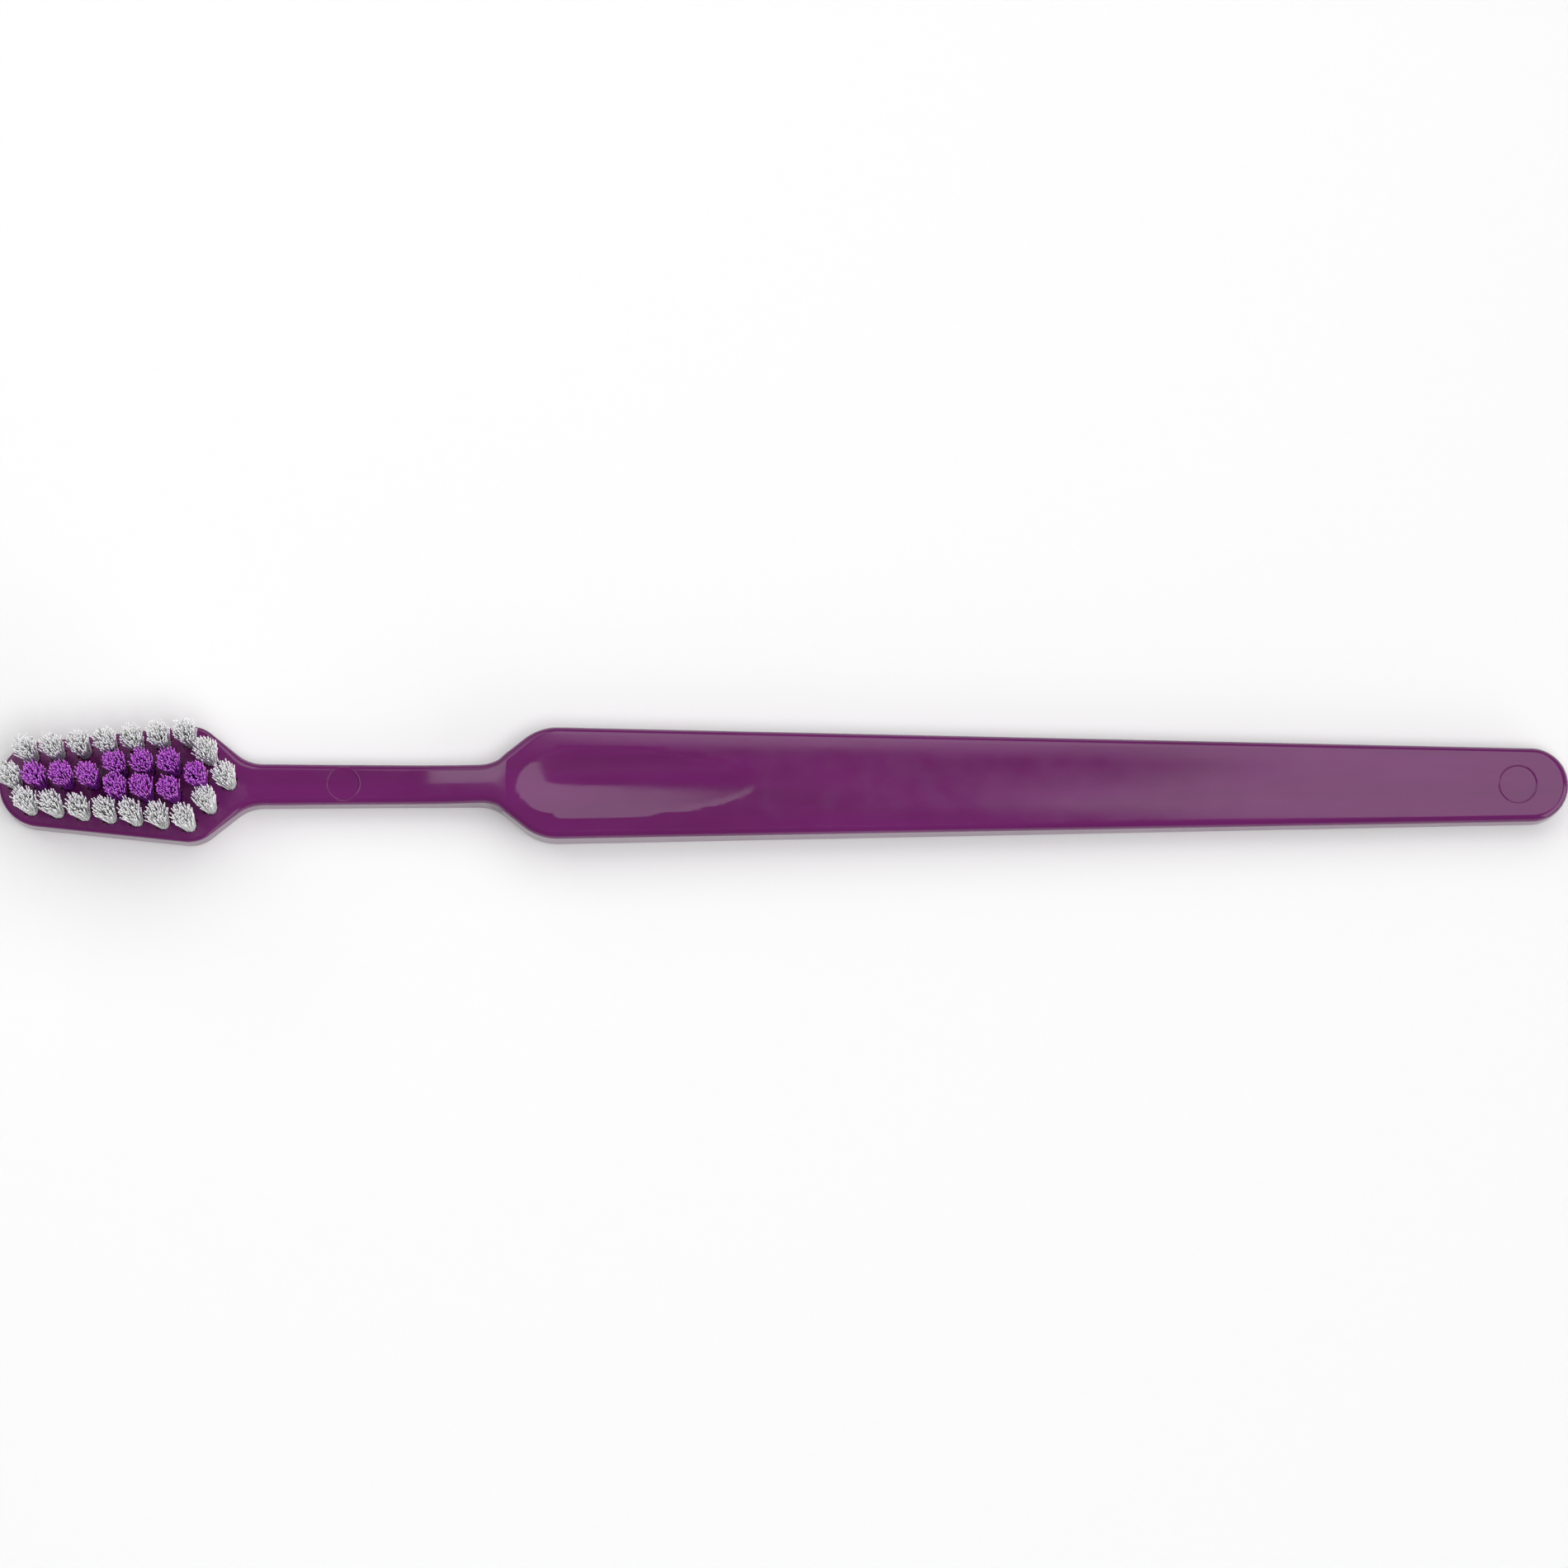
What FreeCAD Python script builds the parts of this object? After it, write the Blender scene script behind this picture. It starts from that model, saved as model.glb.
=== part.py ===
"""Manual toothbrush, in millimetres.

A moulded handle, 28 nylon tufts and the metal anchor plates over which the tufts are folded.
Sizes along the brush start at the tip of the head, heights start at the flat back.
The finished brush lies on its back with the middle of its length over the origin.
"""
import FreeCAD
import Part
import Sketcher

import math
import os
from collections import namedtuple

# Driving sizes: name, value, meaning
SIZES = (
    ("head_length", 30.2, "tip to the corner between head and neck"),
    ("head_width", 14.5, "across the two shoulder corners of the head"),
    ("head_flank_angle", 6.0, "degrees that each long side opens from the tip"),
    ("head_shoulder_run", 5.9, "shoulder corner to neck corner, along the brush"),
    ("head_shoulder_radius", 4.2, "outer rounding of the head's shoulders"),
    ("head_root_radius", 5.0, "inner rounding between head and neck"),
    ("neck_length", 29.5, "corner to corner, head to grip"),
    ("neck_width_head", 5.1, "neck width at the head"),
    ("neck_width_grip", 4.75, "neck width at the grip"),
    ("grip_root_radius", 5.0, "inner rounding between neck and grip"),
    ("grip_length", 130.3, "corner between neck and grip to the far end"),
    ("grip_width", 13.8, "across the two shoulder corners of the grip"),
    ("grip_shoulder_run", 5.7, "neck corner to grip shoulder corner, along the brush"),
    ("grip_shoulder_radius", 6.5, "outer rounding of the grip's shoulders"),
    ("grip_end_radius", 4.5, "round end of the grip, seen from the front"),
    ("head_thickness", 4.6, "back to the face that holds the tufts, also of the neck"),
    ("grip_thickness", 6.2, "back to the crest where the grip begins"),
    ("grip_end_thickness", 4.4, "back to front at the far end"),
    ("ramp_radius", 42.0, "hollow sweep of the ramp, from the neck's front up to the crest"),
    ("crest_lag", 2.0, "end of the crest after the grip corner"),
    ("crest_radius", 4.0, "rounding over the crest"),
    ("back_edge_radius", 0.8, "rounding all round the back"),
    ("head_edge_radius", 0.45, "rounding round the front of the head"),
    ("grip_edge_radius", 1.0, "rounding round the front of the neck and grip"),
    ("hollow_lag", 10.3, "deepest point of the thumb hollow after the grip corner"),
    ("hollow_depth", 0.75, "depth of the thumb hollow"),
    ("hollow_cross_radius", 11.2, "radius of the hollow across the brush"),
    ("hollow_lead_radius", 35.0, "radius of the hollow along the brush, towards the head"),
    ("hollow_tail_radius", 300.0, "radius of the hollow along the brush, towards the end"),
    ("hollow_rim_radius", 1.5, "rounding of the hollow's rim"),
    ("neck_mark_lag", 11.5, "centre of the ejector mark after the head corner"),
    ("neck_mark_diameter", 4.0, "ejector mark on the neck"),
    ("end_mark_inset", 6.2, "centre of the ejector mark before the far end"),
    ("end_mark_diameter", 4.6, "ejector mark near the end"),
    ("mark_depth", 0.1, "depth of both ejector marks"),
    ("hole_diameter", 1.8, "tuft holes"),
    ("hole_depth", 3.3, "tuft holes, below the face"),
    ("nose_tuft_inset", 2.2, "tip of the head to the first tuft"),
    ("edge_inset", 2.0, "side of the head to the tufts of the edge row"),
    ("edge_row_start", 4.1, "tip of the head to the first tufts of the edge rows"),
    ("edge_row_end", 1.1, "last tufts of the edge rows before the shoulder corners"),
    ("shoulder_tuft_inset", 4.5, "shoulder tufts before the neck corner"),
    ("shoulder_tuft_spread", 2.95, "shoulder tufts from the centre line"),
    ("heel_tuft_inset", 2.2, "heel tuft before the neck corner"),
    ("inner_row_start", 5.25, "tip of the head to the first inner tuft"),
    ("inner_row_end", 5.65, "last inner tuft before the neck corner"),
    ("tuft_height", 10.0, "face to the trimmed ends"),
    ("tuft_gap", 0.2, "left between the splayed ends of neighbouring tufts"),
    ("tuft_clearance", 0.02, "between a tuft and its hole"),
    ("tuft_flute", 0.12, "depth of the grooves round a tuft, as a share of its radius"),
    ("anchor_width", 2.2, "anchor plate, across the hole"),
    ("anchor_thickness", 0.28, "anchor plate"),
    ("anchor_height", 1.4, "anchor plate, along the hole"),
    ("anchor_rise", 0.8, "bottom of the hole to the anchor plate, taken by the fold"),
    ("anchor_angle", 35.0, "degrees between the anchor plates and the brush"),
    ("anchor_clearance", 0.01, "between an anchor plate and what it sits in"),
)
EDGE_TUFTS = 7
INNER_ROW = ("single", "single", "single", "pair", "pair", "pair", "single")
TUFT_FLUTES = 7
OVERRUN = 2.0

# Places that several features share, as expressions of the driving sizes
SHOULDER_X = "(Sizes.head_length - Sizes.head_shoulder_run)"
GRIP_X = "(Sizes.head_length + Sizes.neck_length)"
BRUSH_LENGTH = f"({GRIP_X} + Sizes.grip_length)"
FLANK_SLOPE = "tan(Sizes.head_flank_angle)"
NOSE_RADIUS = (
    f"((Sizes.head_width / 2 - {SHOULDER_X} * {FLANK_SLOPE}) * cos(Sizes.head_flank_angle)"
    " / (1 - sin(Sizes.head_flank_angle)))"
)
CREST_X = f"({GRIP_X} + Sizes.crest_lag)"
GRIP_FALL = f"((Sizes.grip_thickness - Sizes.grip_end_thickness) / ({BRUSH_LENGTH} - {CREST_X}))"
TUFT_RADIUS = "(Sizes.hole_diameter / 2 - Sizes.tuft_clearance)"
ANCHOR_DROP = "(Sizes.hole_depth - Sizes.anchor_rise)"
FLUTE_TURN = 180 / TUFT_FLUTES
FLUTE_LEAN = (
    f"sin(atan((1 - Sizes.tuft_flute) * sin({FLUTE_TURN})"
    f" / (1 - (1 - Sizes.tuft_flute) * cos({FLUTE_TURN}))))"
)

Corner = namedtuple("Corner", "x y radius", defaults=(None,))
Cap = namedtuple("Cap", "x radius")
Tuft = namedtuple("Tuft", "name x y")

doc = FreeCAD.newDocument("toothbrush")
sheet = doc.addObject("Spreadsheet::Sheet", "Sizes")
for line, (alias, number, meaning) in enumerate(SIZES, start=1):
    sheet.set(f"A{line}", meaning)
    sheet.set(f"B{line}", str(number))
    sheet.setAlias(f"B{line}", alias)
doc.recompute()


def evaluate(expression):
    """The present value of an expression of the driving sizes."""
    return float(sheet.evalExpression(expression))


def grip_top(x):
    """Expression for the height of the grip's front at x."""
    return f"(Sizes.grip_thickness - ({x} - {CREST_X}) * {GRIP_FALL})"


def edge_row_y(x):
    """Expression for the distance of the edge row from the centre line at x."""
    return (
        f"(Sizes.head_width / 2 - ({SHOULDER_X} - {x}) * {FLANK_SLOPE}"
        " - Sizes.edge_inset / cos(Sizes.head_flank_angle))"
    )


# Sketch helpers
class Drawing:
    """Collects what a sketch holds, then hands all of its rules to the sketch at once."""

    def __init__(self, sketch):
        self.sketch = sketch
        self.rules = []
        self.bound = {}

    def add(self, geometry, construction=False):
        """Adds a line, arc, circle or point and gives its number."""
        return self.sketch.addGeometry(geometry, construction)

    def rule(self, kind, *references):
        """Adds a rule without a size."""
        self.rules.append(Sketcher.Constraint(kind, *references))

    def size(self, expression, kind, *references, turn=False):
        """Adds a rule whose size follows an expression, in degrees for a turn."""
        number = evaluate(expression)
        self.bound[len(self.rules)] = f"{expression} * 1 deg" if turn else expression
        self.rules.append(Sketcher.Constraint(kind, *references, math.radians(number) if turn else number))

    def place(self, geometry, point, x, y):
        """Ties a point to x and y, given as expressions."""
        for kind, axis, expression in (("DistanceX", -2, x), ("DistanceY", -1, y)):
            number = evaluate(expression)
            if abs(number) < 1e-9:
                self.rule("PointOnObject", geometry, point, axis)
            elif number > 0:
                self.size(expression, kind, -1, 1, geometry, point)
            else:
                self.size(f"-({expression})", kind, geometry, point, -1, 1)

    def finish(self):
        """Puts the rules in force."""
        self.sketch.addConstraint(self.rules)
        for index, expression in self.bound.items():
            self.sketch.setExpression(f"Constraints[{index}]", expression)


def tangent_point(centre, radius, outside):
    """Where the line from an outside point touches a circle, on that point's side of the axis."""
    reach = outside - centre
    swing = math.acos(radius / reach.Length)
    heading = math.atan2(reach.y, reach.x)
    touches = []
    for angle in (heading - swing, heading + swing):
        touches.append(centre + FreeCAD.Vector(math.cos(angle), math.sin(angle), 0) * radius)
    return max(touches, key=lambda touch: touch.y * outside.y)


def draw_loop(sketch, stations):
    """Draws a closed loop of lines, counter-clockwise, with arcs at rounded corners and caps.

    A Cap is an arc with its centre on the sketch's x axis, tangent to both of its lines.
    """
    drawing = Drawing(sketch)
    count = len(stations)
    spots = []
    for station in stations:
        y = station.y if isinstance(station, Corner) else "0"
        spots.append(FreeCAD.Vector(evaluate(station.x), evaluate(y), 0))

    def aim(index, other):
        """The point that the line from one station to another heads for."""
        if isinstance(stations[other], Cap):
            return tangent_point(spots[other], evaluate(stations[other].radius), spots[index])
        return spots[other]

    arrivals, departures, arcs = [], [], {}
    for index, station in enumerate(stations):
        before, after = (index - 1) % count, (index + 1) % count
        spot = spots[index]
        if isinstance(station, Corner) and station.radius is None:
            arrivals.append(spot)
            departures.append(spot)
            continue
        radius = evaluate(station.radius)
        if isinstance(station, Cap):
            centre = spot
            arrive = tangent_point(centre, radius, spots[before])
            depart = tangent_point(centre, radius, spots[after])
            left_turn = True
        else:
            back = (aim(index, before) - spot).normalize()
            onward = (aim(index, after) - spot).normalize()
            half = back.getAngle(onward) / 2
            arrive = spot + back * (radius / math.tan(half))
            depart = spot + onward * (radius / math.tan(half))
            centre = spot + (back + onward).normalize() * (radius / math.sin(half))
            left_turn = onward.cross(back).z > 0
        arrivals.append(arrive)
        departures.append(depart)
        first, last = (arrive, depart) if left_turn else (depart, arrive)
        angles = [math.atan2(end.y - centre.y, end.x - centre.x) for end in (first, last)]
        if angles[1] < angles[0]:
            angles[1] += 2 * math.pi
        circle = Part.Circle(centre, FreeCAD.Vector(0, 0, 1), radius)
        arc = drawing.add(Part.ArcOfCircle(circle, *angles))
        arcs[index] = (arc, 1, 2) if left_turn else (arc, 2, 1)

    lines = []
    for index in range(count):
        lines.append(drawing.add(Part.LineSegment(departures[index], arrivals[(index + 1) % count])))
    for index, station in enumerate(stations):
        coming, going = lines[index - 1], lines[index]
        if index not in arcs:
            drawing.rule("Coincident", coming, 2, going, 1)
            drawing.place(going, 1, station.x, station.y)
            continue
        arc, arc_in, arc_out = arcs[index]
        drawing.rule("Tangent", coming, 2, arc, arc_in)
        drawing.rule("Tangent", arc, arc_out, going, 1)
        drawing.size(station.radius, "Radius", arc)
        if isinstance(station, Cap):
            drawing.place(arc, 3, station.x, "0")
            continue
        corner = drawing.add(Part.Point(spots[index]), True)
        drawing.place(corner, 1, station.x, station.y)
        drawing.rule("PointOnObject", corner, 1, coming)
        drawing.rule("PointOnObject", corner, 1, going)
    drawing.finish()


def draw_circles(sketch, places, diameter):
    """Draws circles of one diameter at places given as pairs of expressions."""
    drawing = Drawing(sketch)
    for x, y in places:
        centre = FreeCAD.Vector(evaluate(x), evaluate(y), 0)
        circle = drawing.add(Part.Circle(centre, FreeCAD.Vector(0, 0, 1), evaluate(diameter) / 2))
        drawing.place(circle, 3, x, y)
        drawing.size(diameter, "Diameter", circle)
    drawing.finish()


def draw_slits(sketch, places, length, width, angle):
    """Draws rectangles about their places, with their lengths turned by an angle from the x axis."""
    drawing = Drawing(sketch)
    turn = FreeCAD.Rotation(FreeCAD.Vector(0, 0, 1), evaluate(angle))
    half_length, half_width = evaluate(length) / 2, evaluate(width) / 2
    for x, y in places:
        centre = FreeCAD.Vector(evaluate(x), evaluate(y), 0)
        corners = []
        for side, end in ((-1, -1), (-1, 1), (1, 1), (1, -1)):
            offset = FreeCAD.Vector(end * half_length, side * half_width, 0)
            corners.append(centre + turn.multVec(offset))
        lines = []
        for index in range(4):
            lines.append(drawing.add(Part.LineSegment(corners[index], corners[(index + 1) % 4])))
        middle = drawing.add(Part.Point(centre), True)
        for index in range(4):
            drawing.rule("Coincident", lines[index], 2, lines[(index + 1) % 4], 1)
        drawing.rule("Parallel", lines[0], lines[2])
        drawing.rule("Parallel", lines[1], lines[3])
        drawing.rule("Perpendicular", lines[0], lines[1])
        drawing.rule("Symmetric", lines[0], 1, lines[2], 1, middle, 1)
        drawing.place(middle, 1, x, y)
        drawing.size(angle, "Angle", -1, 1, lines[0], 1, turn=True)
        drawing.size(length, "Distance", lines[0])
        drawing.size(width, "Distance", lines[1])
    drawing.finish()


def draw_bundle(sketch, radius):
    """Draws the grooved outline of a bundle of filaments about the origin."""
    drawing = Drawing(sketch)
    valley = f"({radius} * (1 - Sizes.tuft_flute))"
    origin = FreeCAD.Vector(0, 0, 0)
    rings = []
    for reach in (radius, valley):
        circle = Part.Circle(origin, FreeCAD.Vector(0, 0, 1), evaluate(reach))
        rings.append(drawing.add(circle, True))
        drawing.rule("Coincident", rings[-1], 3, -1, 1)
        drawing.size(reach, "Radius", rings[-1])
    corners = []
    for step in range(2 * TUFT_FLUTES):
        angle = math.pi * step / TUFT_FLUTES
        reach = evaluate(valley if step % 2 else radius)
        corners.append(FreeCAD.Vector(math.cos(angle), math.sin(angle), 0) * reach)
    lines = []
    for one, two in zip(corners, corners[1:] + corners[:1]):
        lines.append(drawing.add(Part.LineSegment(one, two)))
    for step, line in enumerate(lines):
        drawing.rule("Coincident", lines[step - 1], 2, line, 1)
        drawing.rule("PointOnObject", line, 1, rings[step % 2])
        if step:
            drawing.rule("Equal", lines[0], line)
    drawing.rule("PointOnObject", lines[0], 1, -1)
    drawing.finish()


# Body helpers
def origin_plane(body, role):
    """One of the three planes through a body's origin."""
    return [part for part in body.Origin.OriginFeatures if part.Role == role][0]


def new_sketch(body, name, role):
    """A sketch on one of its body's origin planes."""
    sketch = body.newObject("Sketcher::SketchObject", name)
    sketch.AttachmentSupport = [(origin_plane(body, role), "")]
    sketch.MapMode = "FlatFace"
    return sketch


def new_feature(body, kind, name, sketch):
    """A feature of a body that is made from a sketch."""
    feature = body.newObject(f"PartDesign::{kind}", name)
    feature.Profile = sketch
    sketch.Visibility = False
    return feature


def edge_names(shape, wanted):
    """Names of the edges that a test picks."""
    return [f"Edge{index}" for index, edge in enumerate(shape.Edges, start=1) if wanted(edge)]


def tuft_layout():
    """Every tuft with its place on the face: white round the rim, purple inside."""
    white = [Tuft("white_tuft_tip", "Sizes.nose_tuft_inset", "0")]
    row_end = f"({SHOULDER_X} - Sizes.edge_row_end)"
    edge = []
    for index in range(EDGE_TUFTS):
        share = f"{index} / {EDGE_TUFTS - 1}"
        x = f"(Sizes.edge_row_start + ({row_end} - Sizes.edge_row_start) * {share})"
        edge.append((x, edge_row_y(x)))
    edge.append(("(Sizes.head_length - Sizes.shoulder_tuft_inset)", "Sizes.shoulder_tuft_spread"))
    for index, (x, y) in enumerate(edge, start=1):
        white.append(Tuft(f"white_tuft_left_{index}", x, f"-{y}"))
        white.append(Tuft(f"white_tuft_right_{index}", x, y))
    white.append(Tuft("white_tuft_heel", "(Sizes.head_length - Sizes.heel_tuft_inset)", "0"))

    purple = []
    inner_end = "(Sizes.head_length - Sizes.inner_row_end)"
    singles = pairs = 0
    for index, kind in enumerate(INNER_ROW):
        share = f"{index} / {len(INNER_ROW) - 1}"
        x = f"(Sizes.inner_row_start + ({inner_end} - Sizes.inner_row_start) * {share})"
        if kind == "pair":
            pairs += 1
            third = f"({edge_row_y(x)} / 3)"
            purple.append(Tuft(f"purple_tuft_left_{pairs}", x, f"-{third}"))
            purple.append(Tuft(f"purple_tuft_right_{pairs}", x, third))
        else:
            singles += 1
            purple.append(Tuft(f"purple_tuft_axis_{singles}", x, "0"))
    return white + purple


# Handle: outline, front profile and rounded edges
def draw_front(sketch):
    """Draws what is cut away above the front: head and neck, sweep up the ramp, crest and grip."""
    drawing = Drawing(sketch)
    upright = FreeCAD.Vector(0, 0, 1)
    face = evaluate("Sizes.head_thickness")
    sweep = evaluate("Sizes.ramp_radius")
    crest = evaluate("Sizes.crest_radius")
    fall = math.atan(evaluate(GRIP_FALL))
    top = FreeCAD.Vector(evaluate(CREST_X), evaluate("Sizes.grip_thickness"), 0)
    crest_centre = top - FreeCAD.Vector(math.sin(fall), math.cos(fall), 0) * crest
    climb = math.acos((face + sweep - crest_centre.y) / (sweep + crest))
    foot = FreeCAD.Vector(crest_centre.x - (sweep + crest) * math.sin(climb), face, 0)
    sweep_centre = foot + FreeCAD.Vector(0, sweep, 0)

    near, far = f"-{OVERRUN}", f"({BRUSH_LENGTH} + {OVERRUN})"
    ceiling = f"(Sizes.grip_thickness + {OVERRUN})"
    corners = ((far, grip_top(far)), (far, ceiling), (near, ceiling), (near, "Sizes.head_thickness"))
    path = [top, *(FreeCAD.Vector(evaluate(x), evaluate(z), 0) for x, z in corners), foot]
    lines = [drawing.add(Part.LineSegment(*pair)) for pair in zip(path, path[1:])]
    for coming, going, (x, z) in zip(lines, lines[1:], corners):
        drawing.rule("Coincident", coming, 2, going, 1)
        drawing.place(going, 1, x, z)
    drawing.rule("Horizontal", lines[-1])
    quarter = math.pi / 2
    ramp = drawing.add(Part.ArcOfCircle(Part.Circle(sweep_centre, upright, sweep), -quarter, climb - quarter))
    over = drawing.add(Part.ArcOfCircle(Part.Circle(crest_centre, upright, crest), quarter - fall, quarter + climb))
    drawing.rule("Tangent", lines[-1], 2, ramp, 1)
    drawing.rule("Tangent", ramp, 2, over, 2)
    drawing.rule("Tangent", over, 1, lines[0], 1)
    drawing.place(lines[0], 1, CREST_X, "Sizes.grip_thickness")
    drawing.size("Sizes.ramp_radius", "Radius", ramp)
    drawing.size("Sizes.crest_radius", "Radius", over)
    drawing.finish()


def make_blank():
    """The handle without its hollow, holes and marks."""
    body = doc.addObject("PartDesign::Body", "handle_blank")
    outline = new_sketch(body, "handle_outline", "XY_Plane")
    upper = (
        Corner(SHOULDER_X, "Sizes.head_width / 2", "Sizes.head_shoulder_radius"),
        Corner("Sizes.head_length", "Sizes.neck_width_head / 2", "Sizes.head_root_radius"),
        Corner(GRIP_X, "Sizes.neck_width_grip / 2", "Sizes.grip_root_radius"),
        Corner(f"({GRIP_X} + Sizes.grip_shoulder_run)", "Sizes.grip_width / 2", "Sizes.grip_shoulder_radius"),
    )
    lower = [Corner(corner.x, f"-{corner.y}", corner.radius) for corner in upper]
    nose = Cap(NOSE_RADIUS, NOSE_RADIUS)
    end = Cap(f"({BRUSH_LENGTH} - Sizes.grip_end_radius)", "Sizes.grip_end_radius")
    draw_loop(outline, [nose, *lower, end, *reversed(upper)])
    stock = new_feature(body, "Pad", "handle_stock", outline)
    stock.setExpression("Length", f"Sizes.grip_thickness + {OVERRUN / 2}")

    profile = new_sketch(body, "front_profile", "XZ_Plane")
    draw_front(profile)
    front = new_feature(body, "Pocket", "front_cut", profile)
    front.Type = "ThroughAll"
    front.SideType = "Symmetric"
    doc.recompute()

    back = body.newObject("PartDesign::Fillet", "back_edges")
    back.Base = (front, edge_names(front.Shape, lambda edge: edge.BoundBox.ZMax < 1e-6))
    back.setExpression("Radius", "Sizes.back_edge_radius")
    doc.recompute()
    return body


def round_front(blank):
    """Rounds the front edges: small round the head, large round the neck and grip.

    The edges that slope from the head's shoulders to the neck are left to the rounding, which
    grows along them.
    """
    rounded = doc.addObject("Part::Fillet", "front_edges")
    rounded.Base = blank
    small = evaluate("Sizes.head_edge_radius")
    large = evaluate("Sizes.grip_edge_radius")
    slope_middle = evaluate(f"({SHOULDER_X} + Sizes.head_length) / 2")
    back = evaluate("Sizes.back_edge_radius")
    picked = []
    for index, edge in enumerate(blank.Shape.Edges, start=1):
        box = edge.BoundBox
        upright = box.ZLength > 0.5 and box.XLength < 0.5 and box.YLength < 0.5
        crossing = box.YMin < -0.5 and box.YMax > 0.5 and box.XLength < 1e-6
        if box.ZMin < back + 1e-3 or upright or crossing:
            continue
        if box.XMax < slope_middle:
            picked.append((index, small, small))
        elif box.XMin > slope_middle:
            picked.append((index, large, large))
    rounded.Edges = picked
    doc.recompute()
    return rounded


def cut_hollow(body):
    """The thumb hollow, turned about a line above the grip that falls with the grip's front."""
    profile = new_sketch(body, "hollow_profile", "XZ_Plane")
    low_x = f"({GRIP_X} + Sizes.hollow_lag)"
    tilt = math.degrees(math.atan(evaluate(GRIP_FALL)))
    profile.AttachmentOffset = FreeCAD.Placement(
        FreeCAD.Vector(evaluate(low_x), evaluate(grip_top(low_x)), 0),
        FreeCAD.Rotation(FreeCAD.Vector(0, 0, -1), tilt),
    )
    profile.setExpression("AttachmentOffset.Base.x", low_x)
    profile.setExpression("AttachmentOffset.Base.y", grip_top(low_x))
    if tilt:
        profile.setExpression("AttachmentOffset.Rotation.Angle", f"atan({GRIP_FALL})")
    drawing = Drawing(profile)
    low_z = "(-Sizes.hollow_depth)"
    rim_z = str(OVERRUN / 2)
    axis_z = f"({low_z} + Sizes.hollow_cross_radius)"
    low = FreeCAD.Vector(0, evaluate(low_z), 0)
    rise = OVERRUN / 2 - low.y
    bottom = 1.5 * math.pi
    arcs, ends = [], []
    for name, side in (("Sizes.hollow_lead_radius", -1), ("Sizes.hollow_tail_radius", 1)):
        radius = evaluate(name)
        swing = math.acos(1 - rise / radius)
        circle = Part.Circle(low + FreeCAD.Vector(0, radius, 0), FreeCAD.Vector(0, 0, 1), radius)
        span = (bottom - swing, bottom) if side < 0 else (bottom, bottom + swing)
        arcs.append(drawing.add(Part.ArcOfCircle(circle, *span)))
        ends.append(low + FreeCAD.Vector(side * radius * math.sin(swing), rise, 0))
        drawing.size(name, "Radius", arcs[-1])
        drawing.size(rim_z, "DistanceY", -1, 1, arcs[-1], 1 if side < 0 else 2)
    lead, tail = arcs
    drawing.rule("Tangent", lead, 2, tail, 1)
    drawing.rule("Vertical", lead, 3, tail, 3)
    drawing.place(lead, 2, "0", low_z)
    top = evaluate(axis_z)
    path = [ends[1], FreeCAD.Vector(ends[1].x, top, 0), FreeCAD.Vector(ends[0].x, top, 0), ends[0]]
    lines = [drawing.add(Part.LineSegment(*pair)) for pair in zip(path, path[1:])]
    axis = drawing.add(Part.LineSegment(path[1], path[2]), True)
    drawing.rule("Coincident", tail, 2, lines[0], 1)
    drawing.rule("Coincident", lines[0], 2, lines[1], 1)
    drawing.rule("Coincident", lines[1], 2, lines[2], 1)
    drawing.rule("Coincident", lines[2], 2, lead, 1)
    drawing.rule("Coincident", axis, 1, lines[1], 1)
    drawing.rule("Coincident", axis, 2, lines[1], 2)
    drawing.rule("Vertical", lines[0])
    drawing.rule("Horizontal", lines[1])
    drawing.rule("Vertical", lines[2])
    drawing.size(axis_z, "DistanceY", -1, 1, lines[1], 1)
    drawing.finish()
    hollow = new_feature(body, "Groove", "thumb_hollow", profile)
    hollow.ReferenceAxis = (profile, ["Axis0"])
    hollow.Angle = 360
    doc.recompute()
    return hollow


def round_hollow_rim(body, hollow):
    """Rounds the rim where the hollow meets the front of the grip."""
    start = evaluate(f"{GRIP_X} + Sizes.crest_lag")
    inside = evaluate("Sizes.grip_width / 2 - Sizes.grip_edge_radius - 0.5")

    def on_rim(edge):
        box = edge.BoundBox
        curved = box.XLength > 1 and box.YMax < inside and box.YMin > -inside
        crosses_middle = edge.Length > 1 and abs(box.YMin + box.YMax) < 0.1 and box.YLength < 1e-6
        return curved and box.XMin > start and not crosses_middle

    rim = body.newObject("PartDesign::Fillet", "hollow_rim")
    rim.Base = (hollow, edge_names(hollow.Shape, on_rim))
    rim.setExpression("Radius", "Sizes.hollow_rim_radius")
    doc.recompute()
    return rim


def drill_head(body, tufts):
    """The blind tuft holes and the slits that the anchor plates leave beside them."""
    places = [(tuft.x, tuft.y) for tuft in tufts]
    centres = new_sketch(body, "hole_centres", "XY_Plane")
    centres.setExpression("AttachmentOffset.Base.z", "Sizes.head_thickness")
    draw_circles(centres, places, "Sizes.hole_diameter")
    holes = new_feature(body, "Pocket", "tuft_holes", centres)
    holes.setExpression("Length", "Sizes.hole_depth")

    slits = new_sketch(body, "slit_outlines", "XY_Plane")
    slits.setExpression("AttachmentOffset.Base.z", "Sizes.head_thickness")
    length = "(Sizes.anchor_width + 2 * Sizes.anchor_clearance)"
    width = "(Sizes.anchor_thickness + 2 * Sizes.anchor_clearance)"
    draw_slits(slits, places, length, width, "Sizes.anchor_angle")
    cut = new_feature(body, "Pocket", "anchor_slits", slits)
    cut.setExpression("Length", f"{ANCHOR_DROP} + Sizes.anchor_clearance")
    doc.recompute()


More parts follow.
